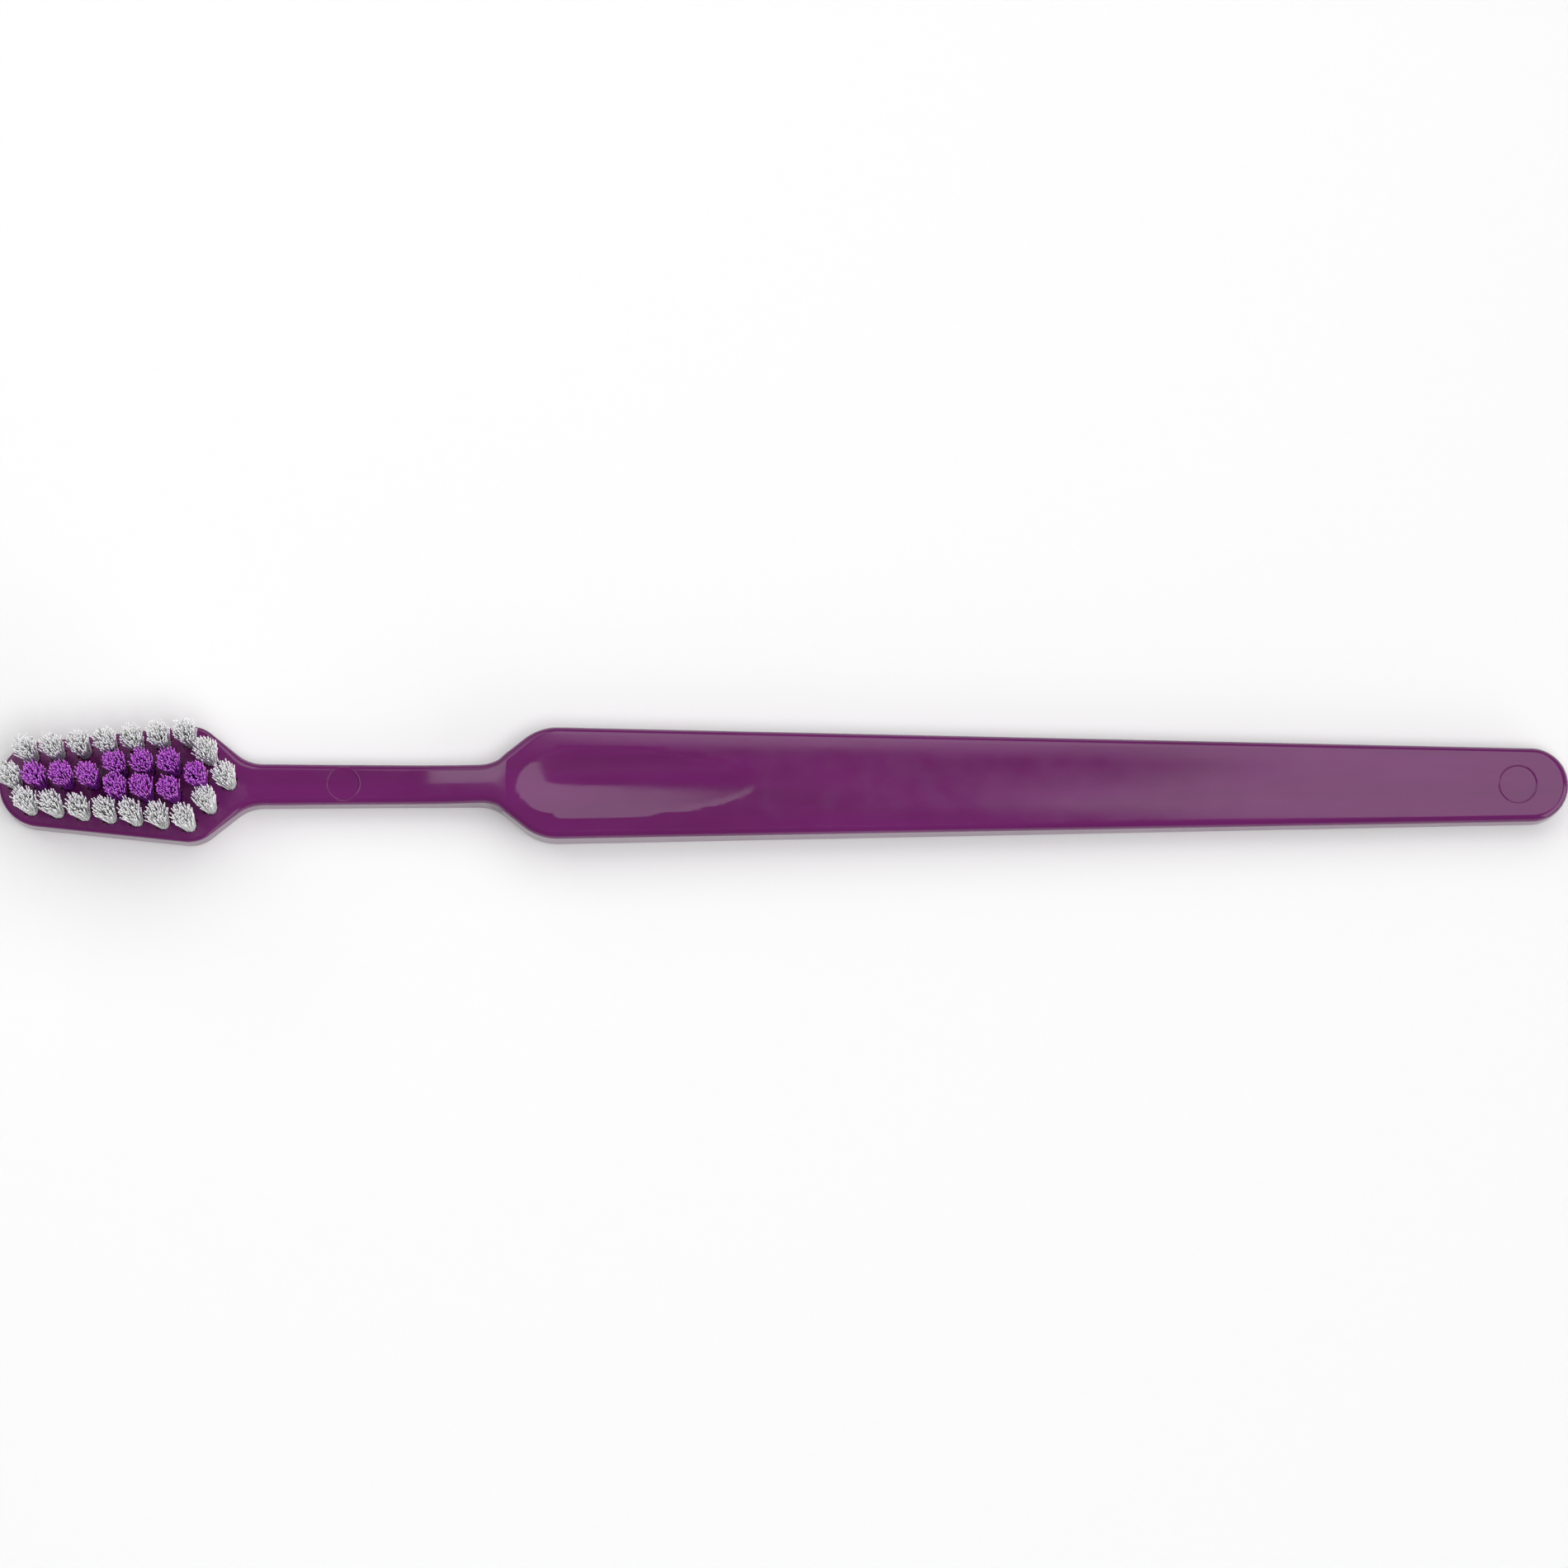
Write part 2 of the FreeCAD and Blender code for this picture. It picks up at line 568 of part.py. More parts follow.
def press_mark(body, name, x, z, slope, diameter):
    """A shallow round ejector mark on a face that falls by slope along the brush."""
    sketch = new_sketch(body, f"{name}_outline", "XY_Plane")
    tilt = math.degrees(math.atan(evaluate(slope)))
    sketch.AttachmentOffset = FreeCAD.Placement(
        FreeCAD.Vector(evaluate(x), 0, evaluate(z)), FreeCAD.Rotation(FreeCAD.Vector(0, 1, 0), tilt)
    )
    sketch.setExpression("AttachmentOffset.Base.x", x)
    sketch.setExpression("AttachmentOffset.Base.z", z)
    if tilt:
        sketch.setExpression("AttachmentOffset.Rotation.Angle", f"atan({slope})")
    draw_circles(sketch, [("0", "0")], diameter)
    mark = new_feature(body, "Pocket", name, sketch)
    mark.setExpression("Length", "Sizes.mark_depth")
    doc.recompute()


def make_handle(tufts):
    """The whole handle."""
    rounded = round_front(make_blank())
    body = doc.addObject("PartDesign::Body", "handle")
    body.BaseFeature = rounded
    doc.recompute()
    hollow = cut_hollow(body)
    round_hollow_rim(body, hollow)
    drill_head(body, tufts)
    neck_mark = "(Sizes.head_length + Sizes.neck_mark_lag)"
    press_mark(body, "neck_mark", neck_mark, "Sizes.head_thickness", "0", "Sizes.neck_mark_diameter")
    end_mark = f"({BRUSH_LENGTH} - Sizes.end_mark_inset)"
    press_mark(body, "end_mark", end_mark, grip_top(end_mark), GRIP_FALL, "Sizes.end_mark_diameter")
    body.setExpression("Placement.Base.x", f"-{BRUSH_LENGTH} / 2")
    return body


# Tufts: a folded bundle that fills its hole and splays towards its trimmed end
def make_tuft(tuft, splayed_radius):
    """One tuft, with the slot that its anchor plate fills."""
    body = doc.addObject("PartDesign::Body", tuft.name)
    mouth = new_sketch(body, f"{tuft.name}_mouth", "XY_Plane")
    draw_bundle(mouth, TUFT_RADIUS)
    free = new_feature(body, "Pad", f"{tuft.name}_free", mouth)
    free.setExpression("Length", "Sizes.tuft_height")
    doc.recompute()
    sides = []
    for index, face in enumerate(free.Shape.Faces, start=1):
        if abs(face.normalAt(0, 0).z) < 0.5:
            sides.append(f"Face{index}")
    splay = body.newObject("PartDesign::Draft", f"{tuft.name}_splay")
    splay.Base = (free, sides)
    splay.NeutralPlane = (origin_plane(body, "XY_Plane"), [""])
    splay.Reversed = True
    widening = f"({splayed_radius} - {TUFT_RADIUS}) * {FLUTE_LEAN}"
    splay.setExpression("Angle", f"atan({widening} / Sizes.tuft_height)")
    shank = new_feature(body, "Pad", f"{tuft.name}_shank", mouth)
    shank.setExpression("Length", "Sizes.hole_depth - Sizes.tuft_clearance")
    shank.Reversed = True

    opening = new_sketch(body, f"{tuft.name}_opening", "YZ_Plane")
    half = "(Sizes.anchor_thickness / 2 + Sizes.anchor_clearance)"
    low = f"-({ANCHOR_DROP} + Sizes.anchor_clearance)"
    high = f"-({ANCHOR_DROP} - Sizes.anchor_height - Sizes.anchor_clearance)"
    draw_loop(opening, [
        Corner(f"-{half}", low),
        Corner(half, low),
        Corner(half, high),
        Corner(f"-{half}", high),
    ])
    slot = new_feature(body, "Pocket", f"{tuft.name}_slot", opening)
    slot.Type = "ThroughAll"
    slot.SideType = "Symmetric"
    turn_to_anchor(body)
    body.setExpression("Placement.Base.x", f"{tuft.x} - {BRUSH_LENGTH} / 2")
    body.setExpression("Placement.Base.y", tuft.y)
    body.setExpression("Placement.Base.z", "Sizes.head_thickness")
    return body


def turn_to_anchor(piece):
    """Turns a piece about the upright axis to the angle of the anchor plates."""
    upright = FreeCAD.Vector(0, 0, 1)
    angle = evaluate("Sizes.anchor_angle")
    piece.Placement = FreeCAD.Placement(FreeCAD.Vector(0, 0, 0), FreeCAD.Rotation(upright, angle))
    piece.setExpression("Placement.Rotation.Angle", "Sizes.anchor_angle")


# Anchors: flat plates driven into the holes across the folded tufts
def make_anchors(tufts):
    """All anchor plates, as one group of separate plates."""
    plates = []
    along, across = "cos(Sizes.anchor_angle)", "sin(Sizes.anchor_angle)"
    half_width, half_thick = "Sizes.anchor_width / 2", "Sizes.anchor_thickness / 2"
    for index, tuft in enumerate(tufts, start=1):
        plate = doc.addObject("Part::Box", f"anchor_plate_{index}")
        plate.setExpression("Length", "Sizes.anchor_width")
        plate.setExpression("Width", "Sizes.anchor_thickness")
        plate.setExpression("Height", "Sizes.anchor_height")
        turn_to_anchor(plate)
        plate.setExpression(
            "Placement.Base.x",
            f"{tuft.x} - {BRUSH_LENGTH} / 2 - {half_width} * {along} + {half_thick} * {across}",
        )
        plate.setExpression("Placement.Base.y", f"{tuft.y} - {half_width} * {across} - {half_thick} * {along}")
        plate.setExpression("Placement.Base.z", f"Sizes.head_thickness - {ANCHOR_DROP}")
        plates.append(plate)
    group = doc.addObject("Part::Compound", "anchor_plates")
    group.Links = plates
    return group


def main():
    """Builds every piece, checks it and writes its file."""
    tufts = tuft_layout()
    edge_pitch = f"(({tufts[3].x}) - ({tufts[1].x}))"
    first_pair = [tuft for tuft in tufts if tuft.name == "purple_tuft_right_1"][0]
    splayed_radius = f"((min({edge_pitch}; 2 * {first_pair.y}) - Sizes.tuft_gap) / 2)"
    pieces = [make_handle(tufts)]
    pieces += [make_tuft(tuft, splayed_radius) for tuft in tufts]
    pieces.append(make_anchors(tufts))
    doc.recompute()

    for item in doc.Objects:
        if "Invalid" in item.State or "Error" in item.State:
            raise RuntimeError(f"{item.Label} did not build: {item.State}")
    os.makedirs("parts", exist_ok=True)
    for piece in pieces:
        if piece.Shape.isNull() or not piece.Shape.isValid():
            raise RuntimeError(f"{piece.Label} has no sound shape")
        piece.Shape.exportStep(f"parts/{piece.Label}.step")
        print(f"{piece.Label}: {len(piece.Shape.Solids)} solid, {piece.Shape.Volume:.1f} mm3")


main()
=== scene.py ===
"""Looks of a manual toothbrush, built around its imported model.

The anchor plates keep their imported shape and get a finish. The moulded handle is replaced by a finer
skin on the same sizes. Each tuft is replaced by its real build: nylon filaments folded under the
anchor plate in the tuft hole, with both halves of every filament standing up out of the hole to a
trimmed and rounded tip.
"""
import logging
import math
from dataclasses import dataclass
from enum import Enum
from typing import Any, Iterable

import bmesh
import bpy
import numpy as np
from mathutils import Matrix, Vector
from mathutils.kdtree import KDTree


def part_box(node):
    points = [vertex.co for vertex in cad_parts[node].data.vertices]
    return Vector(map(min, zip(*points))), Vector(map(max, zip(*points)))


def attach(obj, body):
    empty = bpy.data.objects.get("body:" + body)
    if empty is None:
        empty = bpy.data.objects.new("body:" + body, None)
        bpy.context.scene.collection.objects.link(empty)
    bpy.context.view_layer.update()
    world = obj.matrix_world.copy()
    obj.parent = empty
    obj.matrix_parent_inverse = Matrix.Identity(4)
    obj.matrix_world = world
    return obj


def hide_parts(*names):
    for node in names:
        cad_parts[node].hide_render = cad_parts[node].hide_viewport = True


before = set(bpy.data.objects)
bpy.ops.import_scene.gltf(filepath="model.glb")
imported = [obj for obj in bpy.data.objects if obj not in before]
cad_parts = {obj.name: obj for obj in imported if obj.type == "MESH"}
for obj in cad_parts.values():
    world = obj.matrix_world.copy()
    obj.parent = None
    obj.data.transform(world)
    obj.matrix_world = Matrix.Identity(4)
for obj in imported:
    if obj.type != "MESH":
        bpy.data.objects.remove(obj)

log = logging.getLogger("toothbrush")
MM = 0.001
WHITE_LIGHT = (1.0, 1.0, 1.0, 1.0)
Point = tuple[float, float, float]
Colour = tuple[float, float, float, float]
Array = np.ndarray
Face = tuple[int, ...]
Row = tuple[float, ...]


def linear(code: str) -> Colour:
    """Turns an sRGB colour, six hex digits after a number sign, into linear light with an alpha of 1."""
    shares = (int(code[start : start + 2], 16) / 255 for start in (1, 3, 5))
    red, green, blue = (s / 12.92 if s <= 0.04045 else ((s + 0.055) / 1.055) ** 2.4 for s in shares)
    return red, green, blue, 1.0


def add_node(
    tree: bpy.types.NodeTree, kind: str, links: dict[Any, Any] | None = None, **settings: Any
) -> bpy.types.Node:
    """Adds a node, sets it and links its inputs.

    Args:
        tree: The node tree that takes the node.
        kind: Blender's name of the node's type, without the word ShaderNode.
        links: An output socket or a plain value for each input, by name or number.
        settings: Values of the node's own properties.

    Returns:
        The new node.
    """
    node = tree.nodes.new(f"ShaderNode{kind}")
    for name, value in settings.items():
        setattr(node, name, value)
    for key, value in (links or {}).items():
        if isinstance(value, bpy.types.NodeSocket):
            tree.links.new(value, node.inputs[key])
        else:
            node.inputs[key].default_value = value
    return node


def new_material(name: str) -> tuple[bpy.types.Material, bpy.types.NodeTree, bpy.types.NodeSocket]:
    """Makes a material with nothing but its output.

    Args:
        name: What the material is and how its surface was made.

    Returns:
        The material, its node tree and the input that takes its surface.
    """
    material = bpy.data.materials.new(name)
    material.use_nodes = True
    tree = material.node_tree
    tree.nodes.clear()
    return material, tree, add_node(tree, "OutputMaterial").inputs["Surface"]


def set_ramp(node: bpy.types.Node, stops: Iterable[tuple[float, Colour]]) -> None:
    """Gives a colour ramp its stops, each a place and a linear colour, in order."""
    points = node.color_ramp.elements
    for index, (place, colour) in enumerate(stops):
        point = points[index] if index < 2 else points.new(place)
        point.position, point.color = place, colour


def noise_scale(size_mm: float) -> float:
    """Scale of a noise whose grain has a size in millimetres."""
    return 1 / (size_mm * MM)


def new_mesh(name: str, points: Iterable[Any], faces: list[Face]) -> bpy.types.Mesh:
    """Makes a mesh from points in metres and from the numbers of each face's points."""
    mesh = bpy.data.meshes.new(name)
    mesh.from_pydata(np.asarray(points).tolist(), [], faces)
    return mesh


def add_object(name: str, data: bpy.types.ID) -> bpy.types.Object:
    """Puts a mesh, lamp or camera into the scene and returns its object."""
    added = bpy.data.objects.new(name, data)
    bpy.context.scene.collection.objects.link(added)
    return added


def grid_faces(first: int, rows: int, columns: int) -> list[Face]:
    """Joins the points of a grid, numbered row by row from the first, into four-sided faces."""
    corners = (first + row * columns + column for row in range(rows - 1) for column in range(columns - 1))
    return [(a, a + columns, a + columns + 1, a + 1) for a in corners]


def circle(sides: int) -> Array:
    """Points of a circle with a radius of 1."""
    angles = np.linspace(0, 2 * math.pi, sides, endpoint=False)
    return np.column_stack((np.cos(angles), np.sin(angles)))


@dataclass(frozen=True)
class MouldedPolypropylene:
    """Opaque purple polypropylene, injection moulded in a polished tool.

    It gives the eye clear, slightly soft reflections over a deep even colour. The pigment lies in
    faint streaks along the flow, the skin has a fine orange peel, and the cooled plastic sinks a
    little, so long reflections waver.
    """

    colour: str = "#62175A"
    streak_colour: str = "#5A1551"
    streak_band: tuple[float, float] = (0.35, 0.65)
    ior: float = 1.49
    roughness: float = 0.11
    gloss_spread: tuple[float, float] = (-0.025, 0.035)
    handling_mm: float = 3.0
    streak_mm: float = 5.0
    streak_stretch: float = 7.0
    peel_mm: float = 0.9
    peel_height_mm: float = 0.0012
    sink_mm: float = 26.0
    sink_height_mm: float = 0.03

    def material(self) -> bpy.types.Material:
        """Builds the finish and returns its material."""
        material, tree, surface = new_material("polypropylene_gloss_moulded")
        place = add_node(tree, "TexCoord").outputs["Object"]
        along = add_node(tree, "Mapping", {"Vector": place, "Scale": (1 / self.streak_stretch, 1, 1)})
        streaks = add_node(tree, "TexNoise", {
            "Vector": along.outputs[0], "Scale": noise_scale(self.streak_mm), "Detail": 4.0,
            "Distortion": 0.4,
        })
        tint = add_node(tree, "ValToRGB", {"Fac": streaks.outputs["Fac"]})
        set_ramp(tint, zip(self.streak_band, (linear(self.streak_colour), linear(self.colour))))

        handling = add_node(tree, "TexNoise", {
            "Vector": place, "Scale": noise_scale(self.handling_mm), "Detail": 5.0,
        })
        gloss = add_node(tree, "MapRange", {
            "Value": handling.outputs["Fac"], "From Min": 0.3, "From Max": 0.7,
            "To Min": self.roughness + self.gloss_spread[0],
            "To Max": self.roughness + self.gloss_spread[1],
        })
        sinks = add_node(tree, "TexNoise", {
            "Vector": place, "Scale": noise_scale(self.sink_mm), "Detail": 1.0,
        })
        sunk = add_node(tree, "Bump", {
            "Height": sinks.outputs["Fac"], "Distance": self.sink_height_mm * MM, "Strength": 1.0,
        })
        peel = add_node(tree, "TexNoise", {
            "Vector": place, "Scale": noise_scale(self.peel_mm), "Detail": 2.0,
        })
        skin = add_node(tree, "Bump", {
            "Height": peel.outputs["Fac"], "Distance": self.peel_height_mm * MM, "Strength": 1.0,
            "Normal": sunk.outputs[0],
        })
        shader = add_node(tree, "BsdfPrincipled", {
            "Base Color": tint.outputs["Color"], "Roughness": gloss.outputs[0], "IOR": self.ior,
            "Normal": skin.outputs[0],
        })
        tree.links.new(shader.outputs[0], surface)
        return material


@dataclass(frozen=True)
class DrawnNylon:
    """Nylon filament, drawn through a die and end-rounded on a grinding wheel.

    It gives the eye a milky glow with a soft shine along each filament, a tip painted paler, partly
    as a painted highlight of the lit tops of the tufts and partly for scuffing by the end-rounding, and
    small differences of tone from one filament to the next.
    """

    name: str
    colour: str
    # The tip's colour is painted paler: a painted highlight for the light on the tufts' tops, with some
    # scuffing from the end-rounding.
    lit_tip_colour: str
    tip_light_band: tuple[float, float] = (0.55, 0.99)
    tone_spread: float = 0.08
    ior: float = 1.53
    roughness: float = 0.38
    glow: float = 1.0
    glow_mm: float = 0.6
    die_line_mm: float = 0.03
    die_line_stretch: float = 50.0
    die_line_height_mm: float = 0.002

    def material(self) -> bpy.types.Material:
        """Builds the finish and returns its material."""
        material, tree, surface = new_material(self.name)
        rise = add_node(tree, "Attribute", attribute_name="rise").outputs["Fac"]
        tone = add_node(tree, "Attribute", attribute_name="tone").outputs["Fac"]
        # Painted highlight: each filament turns paler over its upper part towards the tip, for the light on
        # the tufts' tops, with some scuffing from the end-rounding.
        ramp = add_node(tree, "ValToRGB", {"Fac": rise})
        set_ramp(ramp, zip(self.tip_light_band, (linear(self.colour), linear(self.lit_tip_colour))))
        shift = add_node(tree, "MapRange", {
            "Value": tone, "To Min": 1 - self.tone_spread, "To Max": 1 + self.tone_spread,
        })
        toned = add_node(tree, "HueSaturation", {"Color": ramp.outputs["Color"], "Value": shift.outputs[0]})

        place = add_node(tree, "TexCoord").outputs["Object"]
        drawn = add_node(tree, "Mapping", {"Vector": place, "Scale": (1, 1, 1 / self.die_line_stretch)})
        lines = add_node(tree, "TexNoise", {
            "Vector": drawn.outputs[0], "Scale": noise_scale(self.die_line_mm),
        })
        grooves = add_node(tree, "Bump", {
            "Height": lines.outputs["Fac"], "Distance": self.die_line_height_mm * MM, "Strength": 0.6,
        })
        shader = add_node(tree, "BsdfPrincipled", {
            "Base Color": toned.outputs["Color"], "Roughness": self.roughness, "IOR": self.ior,
            "Subsurface Weight": self.glow, "Subsurface Scale": self.glow_mm * MM,
            "Subsurface Radius": (1.0, 0.9, 1.0), "Normal": grooves.outputs[0],
        })
        tree.links.new(shader.outputs[0], surface)
        return material


@dataclass(frozen=True)
class ShearedBrass:
    """Brass strip, rolled flat and sheared to length by the tufting machine.

    It gives the eye a yellow metal shine, drawn out along the rolling direction.
    """

    colour: str = "#A98A4C"
    dull_colour: str = "#7E6434"
    dull_band: tuple[float, float] = (0.3, 0.7)
    roughness: float = 0.4
    rolling_mm: float = 0.05
    rolling_stretch: float = 20.0

    def material(self) -> bpy.types.Material:
        """Builds the finish and returns its material."""
        material, tree, surface = new_material("brass_strip_rolled")
        place = add_node(tree, "TexCoord").outputs["Object"]
        rolled = add_node(tree, "Mapping", {"Vector": place, "Scale": (1 / self.rolling_stretch, 1, 1)})
        lines = add_node(tree, "TexNoise", {
            "Vector": rolled.outputs[0], "Scale": noise_scale(self.rolling_mm),
        })
        tint = add_node(tree, "ValToRGB", {"Fac": lines.outputs["Fac"]})
        set_ramp(tint, zip(self.dull_band, (linear(self.dull_colour), linear(self.colour))))
        shader = add_node(tree, "BsdfPrincipled", {
            "Base Color": tint.outputs["Color"], "Metallic": 1.0, "Roughness": self.roughness,
        })
        tree.links.new(shader.outputs[0], surface)
        return material


@dataclass(frozen=True)
class StudioPaper:
    """Pale seamless paper, which gives the eye an even matt ground."""

    colour: str = "#E6E6E6"
    roughness: float = 0.9
    specular: float = 0.2

    def material(self) -> bpy.types.Material:
        """Builds the finish and returns its material."""
        material, tree, surface = new_material("studio_paper_matt")
        shader = add_node(tree, "BsdfPrincipled", {
            "Base Color": linear(self.colour), "Roughness": self.roughness,
            "Specular IOR Level": self.specular,
        })
        tree.links.new(shader.outputs[0], surface)
        return material


class Shade(Enum):
    """The two colours of filament, with the start of their nodes' names and their slots."""

    WHITE = ("white_tuft_", "white_nylon")
    PURPLE = ("purple_tuft_", "purple_nylon")


class Side(Enum):
    """The two sides of the brush, as the sign of their y."""

    LEFT = -1
    RIGHT = 1


@dataclass
class Handle:
    """The one-piece moulded handle. Lengths are in millimetres, x starts at the tip of the head.

    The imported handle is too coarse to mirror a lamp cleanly, so a fine skin with exact normals
    takes its place, on the same sizes.
    """

    node: str = "handle"
    finish: MouldedPolypropylene = MouldedPolypropylene()
    length: float = 190.0
    head_length: float = 30.2
    head_width: float = 14.5
    flank_angle: float = 6.0
    shoulder_run: float = 5.9
    shoulder_radius: float = 4.2
    root_radius: float = 5.0
    grip_start: float = 59.7
    neck_widths: tuple[float, float] = (5.1, 4.75)
    grip_width: float = 13.8
    grip_shoulder_run: float = 5.7
    grip_shoulder_radius: float = 6.5
    end_radius: float = 4.5
    face: float = 4.6
    crest_height: float = 6.2
    end_height: float = 4.4
    ramp_radius: float = 42.0
    crest_lag: float = 2.0
    crest_radius: float = 4.0
    back_edge: float = 0.8
    head_edge: float = 0.45
    grip_edge: float = 1.0
    edge_change: tuple[float, float] = (25.5, 29.5)
    hollow_lag: float = 10.3
    hollow_depth: float = 0.75
    hollow_cross: float = 11.2
    hollow_lead: float = 35.0
    hollow_tail: float = 300.0
    hollow_top: float = 2.0
    least_cross: float = 1.0
    rim_blend: float = 0.08
    sink: float = 0.09
    sink_run: float = 60.0
    ease: float = 0.03
    ease_width: float = 2.0
    ease_limit: float = 1.5
    ease_lag: float = 4.0
    ease_run: float = 6.0
    fade_run: float = 12.0
    marks: tuple[tuple[float, float], ...] = ((41.7, 4.0), (183.8, 4.6))
    mark_depth: float = 0.1
    mark_rim: float = 0.11
    mark_proud: float = 0.04
    hole_diameter: float = 1.8
    hole_depth: float = 3.3
    slit: tuple[float, float, float] = (2.22, 0.30, 2.51)
    slit_angle: float = 35.0
    cutter_head: float = 1.0
    least_half: float = 0.1
    weld: float = 0.001
    speck: float = 0.0001
    run_step: float = 1.0
    turn_step: float = 4.0
    rungs: int = 18
    edge_rings: int = 8
    back_rings: int = 6
    hole_sides: int = 24
    mark_sides: int = 64
    bead_sides: int = 8
    blend_points: int = 3

    @property
    def crest(self) -> float:
        """Where the crest of the ramp ends and the grip's straight front begins."""
        return self.grip_start + self.crest_lag

    def outline(self) -> Array:
        """Traces the edge of the handle from the tip to the far end.

        Returns:
            Rows of x, y and the outward direction, on the side where y is positive.
        """
        slope = math.radians(self.flank_angle)
        shoulder = self.head_length - self.shoulder_run
        start = self.head_width / 2 - shoulder * math.tan(slope)
        nose = start * math.cos(slope) / (1 - math.sin(slope))
        corners = (
            (shoulder, self.head_width / 2, self.shoulder_radius),
            (self.head_length, self.neck_widths[0] / 2, self.root_radius),
            (self.grip_start, self.neck_widths[1] / 2, self.root_radius),
            (self.grip_start + self.grip_shoulder_run, self.grip_width / 2, self.grip_shoulder_radius),
        )
        end = np.array((self.length - self.end_radius, 0.0))
        reach = end - corners[-1][:2]
        closing = math.atan2(reach[1], reach[0]) + math.asin(self.end_radius / np.linalg.norm(reach))
        last = end + self.end_radius * np.array((-math.sin(closing), math.cos(closing)))
        spots = [np.array(spot) for spot in ((0.0, start), *(corner[:2] for corner in corners), last)]
        quarter = math.pi / 2

        rows = []
        self.turn(rows, np.array((nose, 0.0)), nose, (math.pi, quarter + slope))
        for before, spot, after, (_, _, radius) in zip(spots, spots[1:], spots[2:], corners):
            coming, going = spot - before, after - spot
            headings = [math.atan2(run[1], run[0]) for run in (coming, going)]
            outward = 1 if headings[1] < headings[0] else -1
            half = abs(headings[1] - headings[0]) / 2
            arrive = spot - coming / np.linalg.norm(coming) * radius * math.tan(half)
            normal = np.array((-math.sin(headings[0]), math.cos(headings[0])))
            self.run(rows, arrive)
            ways = (headings[0] + quarter, headings[1] + quarter)
            self.turn(rows, arrive - outward * radius * normal, radius, ways, outward)
        self.run(rows, last)
        self.turn(rows, end, self.end_radius, (closing + quarter, 0.0))
        rows = np.array(rows)
        keep = np.concatenate(((True,), np.linalg.norm(np.diff(rows[:, :2], axis=0), axis=1) > 1e-6))
        rows = rows[keep]
        rows[[0, -1], 1] = 0.0
        return rows

    def turn(
        self, rows: list[Row], centre: Array, radius: float,
        ways: tuple[float, float], outward: int = 1,
    ) -> None:
        """Adds an arc to the outline.

        Args:
            rows: The outline so far.
            centre: The middle of the arc.
            radius: Its radius.
            ways: The heading of its outward direction where it starts and where it ends.
            outward: 1 where the arc bulges out, -1 where it is hollow.
        """
        start, stop = ways
        count = max(2, math.ceil(abs(stop - start) / math.radians(self.turn_step)))
        for heading in np.linspace(start, stop, count + 1):
            way = np.array((math.cos(heading), math.sin(heading)))
            rows.append((*(centre + outward * radius * way), *way))

    def run(self, rows: list[Row], stop: Array) -> None:
        """Adds a straight run from the outline's last row to a point."""
        x, y, *way = rows[-1]
        count = max(1, math.ceil(np.linalg.norm(stop - (x, y)) / self.run_step))
        for share in np.arange(1, count) / count:
            rows.append((x + (stop[0] - x) * share, y + (stop[1] - y) * share, *way))

    def width(self, x: Array, outline: Array) -> Array:
        """Half the handle's width at x."""
        return np.interp(x, outline[:, 0], outline[:, 1])

    def profile(self, x: Array) -> tuple[Array, Array]:
        """Side view of the front, before the hollow is sunk into it.

        Args:
            x: Places along the brush.

        Returns:
            Heights over the back, and those of the grip's straight front alone.
        """
        fall = (self.crest_height - self.end_height) / (self.length - self.crest)
        lean = math.atan(fall)
        middle_x = self.crest - self.crest_radius * math.sin(lean)
        middle_z = self.crest_height - self.crest_radius * math.cos(lean)
        both = self.ramp_radius + self.crest_radius
        climb = math.acos((self.face + self.ramp_radius - middle_z) / both)
        foot = middle_x - both * math.sin(climb)
        touch = foot + self.ramp_radius * math.sin(climb)
        grip = self.crest_height - (x - self.crest) * fall
        ramp = self.face + self.ramp_radius - np.sqrt(np.maximum(self.ramp_radius**2 - (x - foot) ** 2, 0))
        over = middle_z + np.sqrt(np.maximum(self.crest_radius**2 - (x - middle_x) ** 2, 0))
        parts = (np.full_like(x, self.face), ramp, over)
        return np.select((x < foot, x < touch, x < self.crest), parts, grip), grip

    def bowl(self, x: Array, y: Array, grip: Array) -> Array:
        """Height of the thumb hollow.

        Args:
            x: Places along the brush.
            y: Places across it.
            grip: Heights of the grip's straight front.

        Returns:
            Heights over the back, infinite where the hollow doesn't reach.
        """
        from_low = x - self.grip_start - self.hollow_lag
        bend = np.where(from_low < 0, self.hollow_lead, self.hollow_tail)
        loss = bend - np.sqrt(np.maximum(bend**2 - from_low**2, 0))
        cross = np.maximum(self.hollow_cross - loss, self.least_cross)
        height = grip - self.hollow_depth + loss + cross - np.sqrt(np.maximum(cross**2 - y**2, 0))
        return np.where((loss < self.hollow_top) & (np.abs(y) < cross), height, np.inf)

    def front(self, x: Array, y: Array, outline: Array) -> Array:
        """Height of the front of the handle, without its edges.

        The cooled plastic sinks along the middle of the grip, and eases off towards the edges.

        Args:
            x: Places along the brush.
            y: Places across it.
            outline: The edge of the handle.

        Returns:
            Heights over the back.
        """
        height, grip = self.profile(x)
        bowl = self.bowl(x, y, grip)
        mix = np.maximum(self.rim_blend - np.abs(height - bowl), 0) / self.rim_blend
        height = np.minimum(height, bowl) - mix**2 * self.rim_blend / 4

        half = np.maximum(self.width(x, outline), self.least_half)
        to_end = np.clip((self.length - x) / self.fade_run, 0, 1)
        on_grip = np.clip((x - self.crest) / self.fade_run, 0, 1) ** 2 * to_end
        sunk = np.clip((x - self.crest - self.hollow_lag) / self.sink_run, 0, 1) ** 2 * on_grip
        height = height - self.sink * np.clip(1 - (y / half) ** 2, 0, 1) * sunk
        near = (np.abs(y) - half + self.grip_edge + self.ease_width) / self.ease_width
        eased = np.clip((x - self.head_length - self.ease_lag) / self.ease_run, 0, 1) * to_end
        return height - self.ease * np.clip(near, 0, self.ease_limit) ** 2 * eased

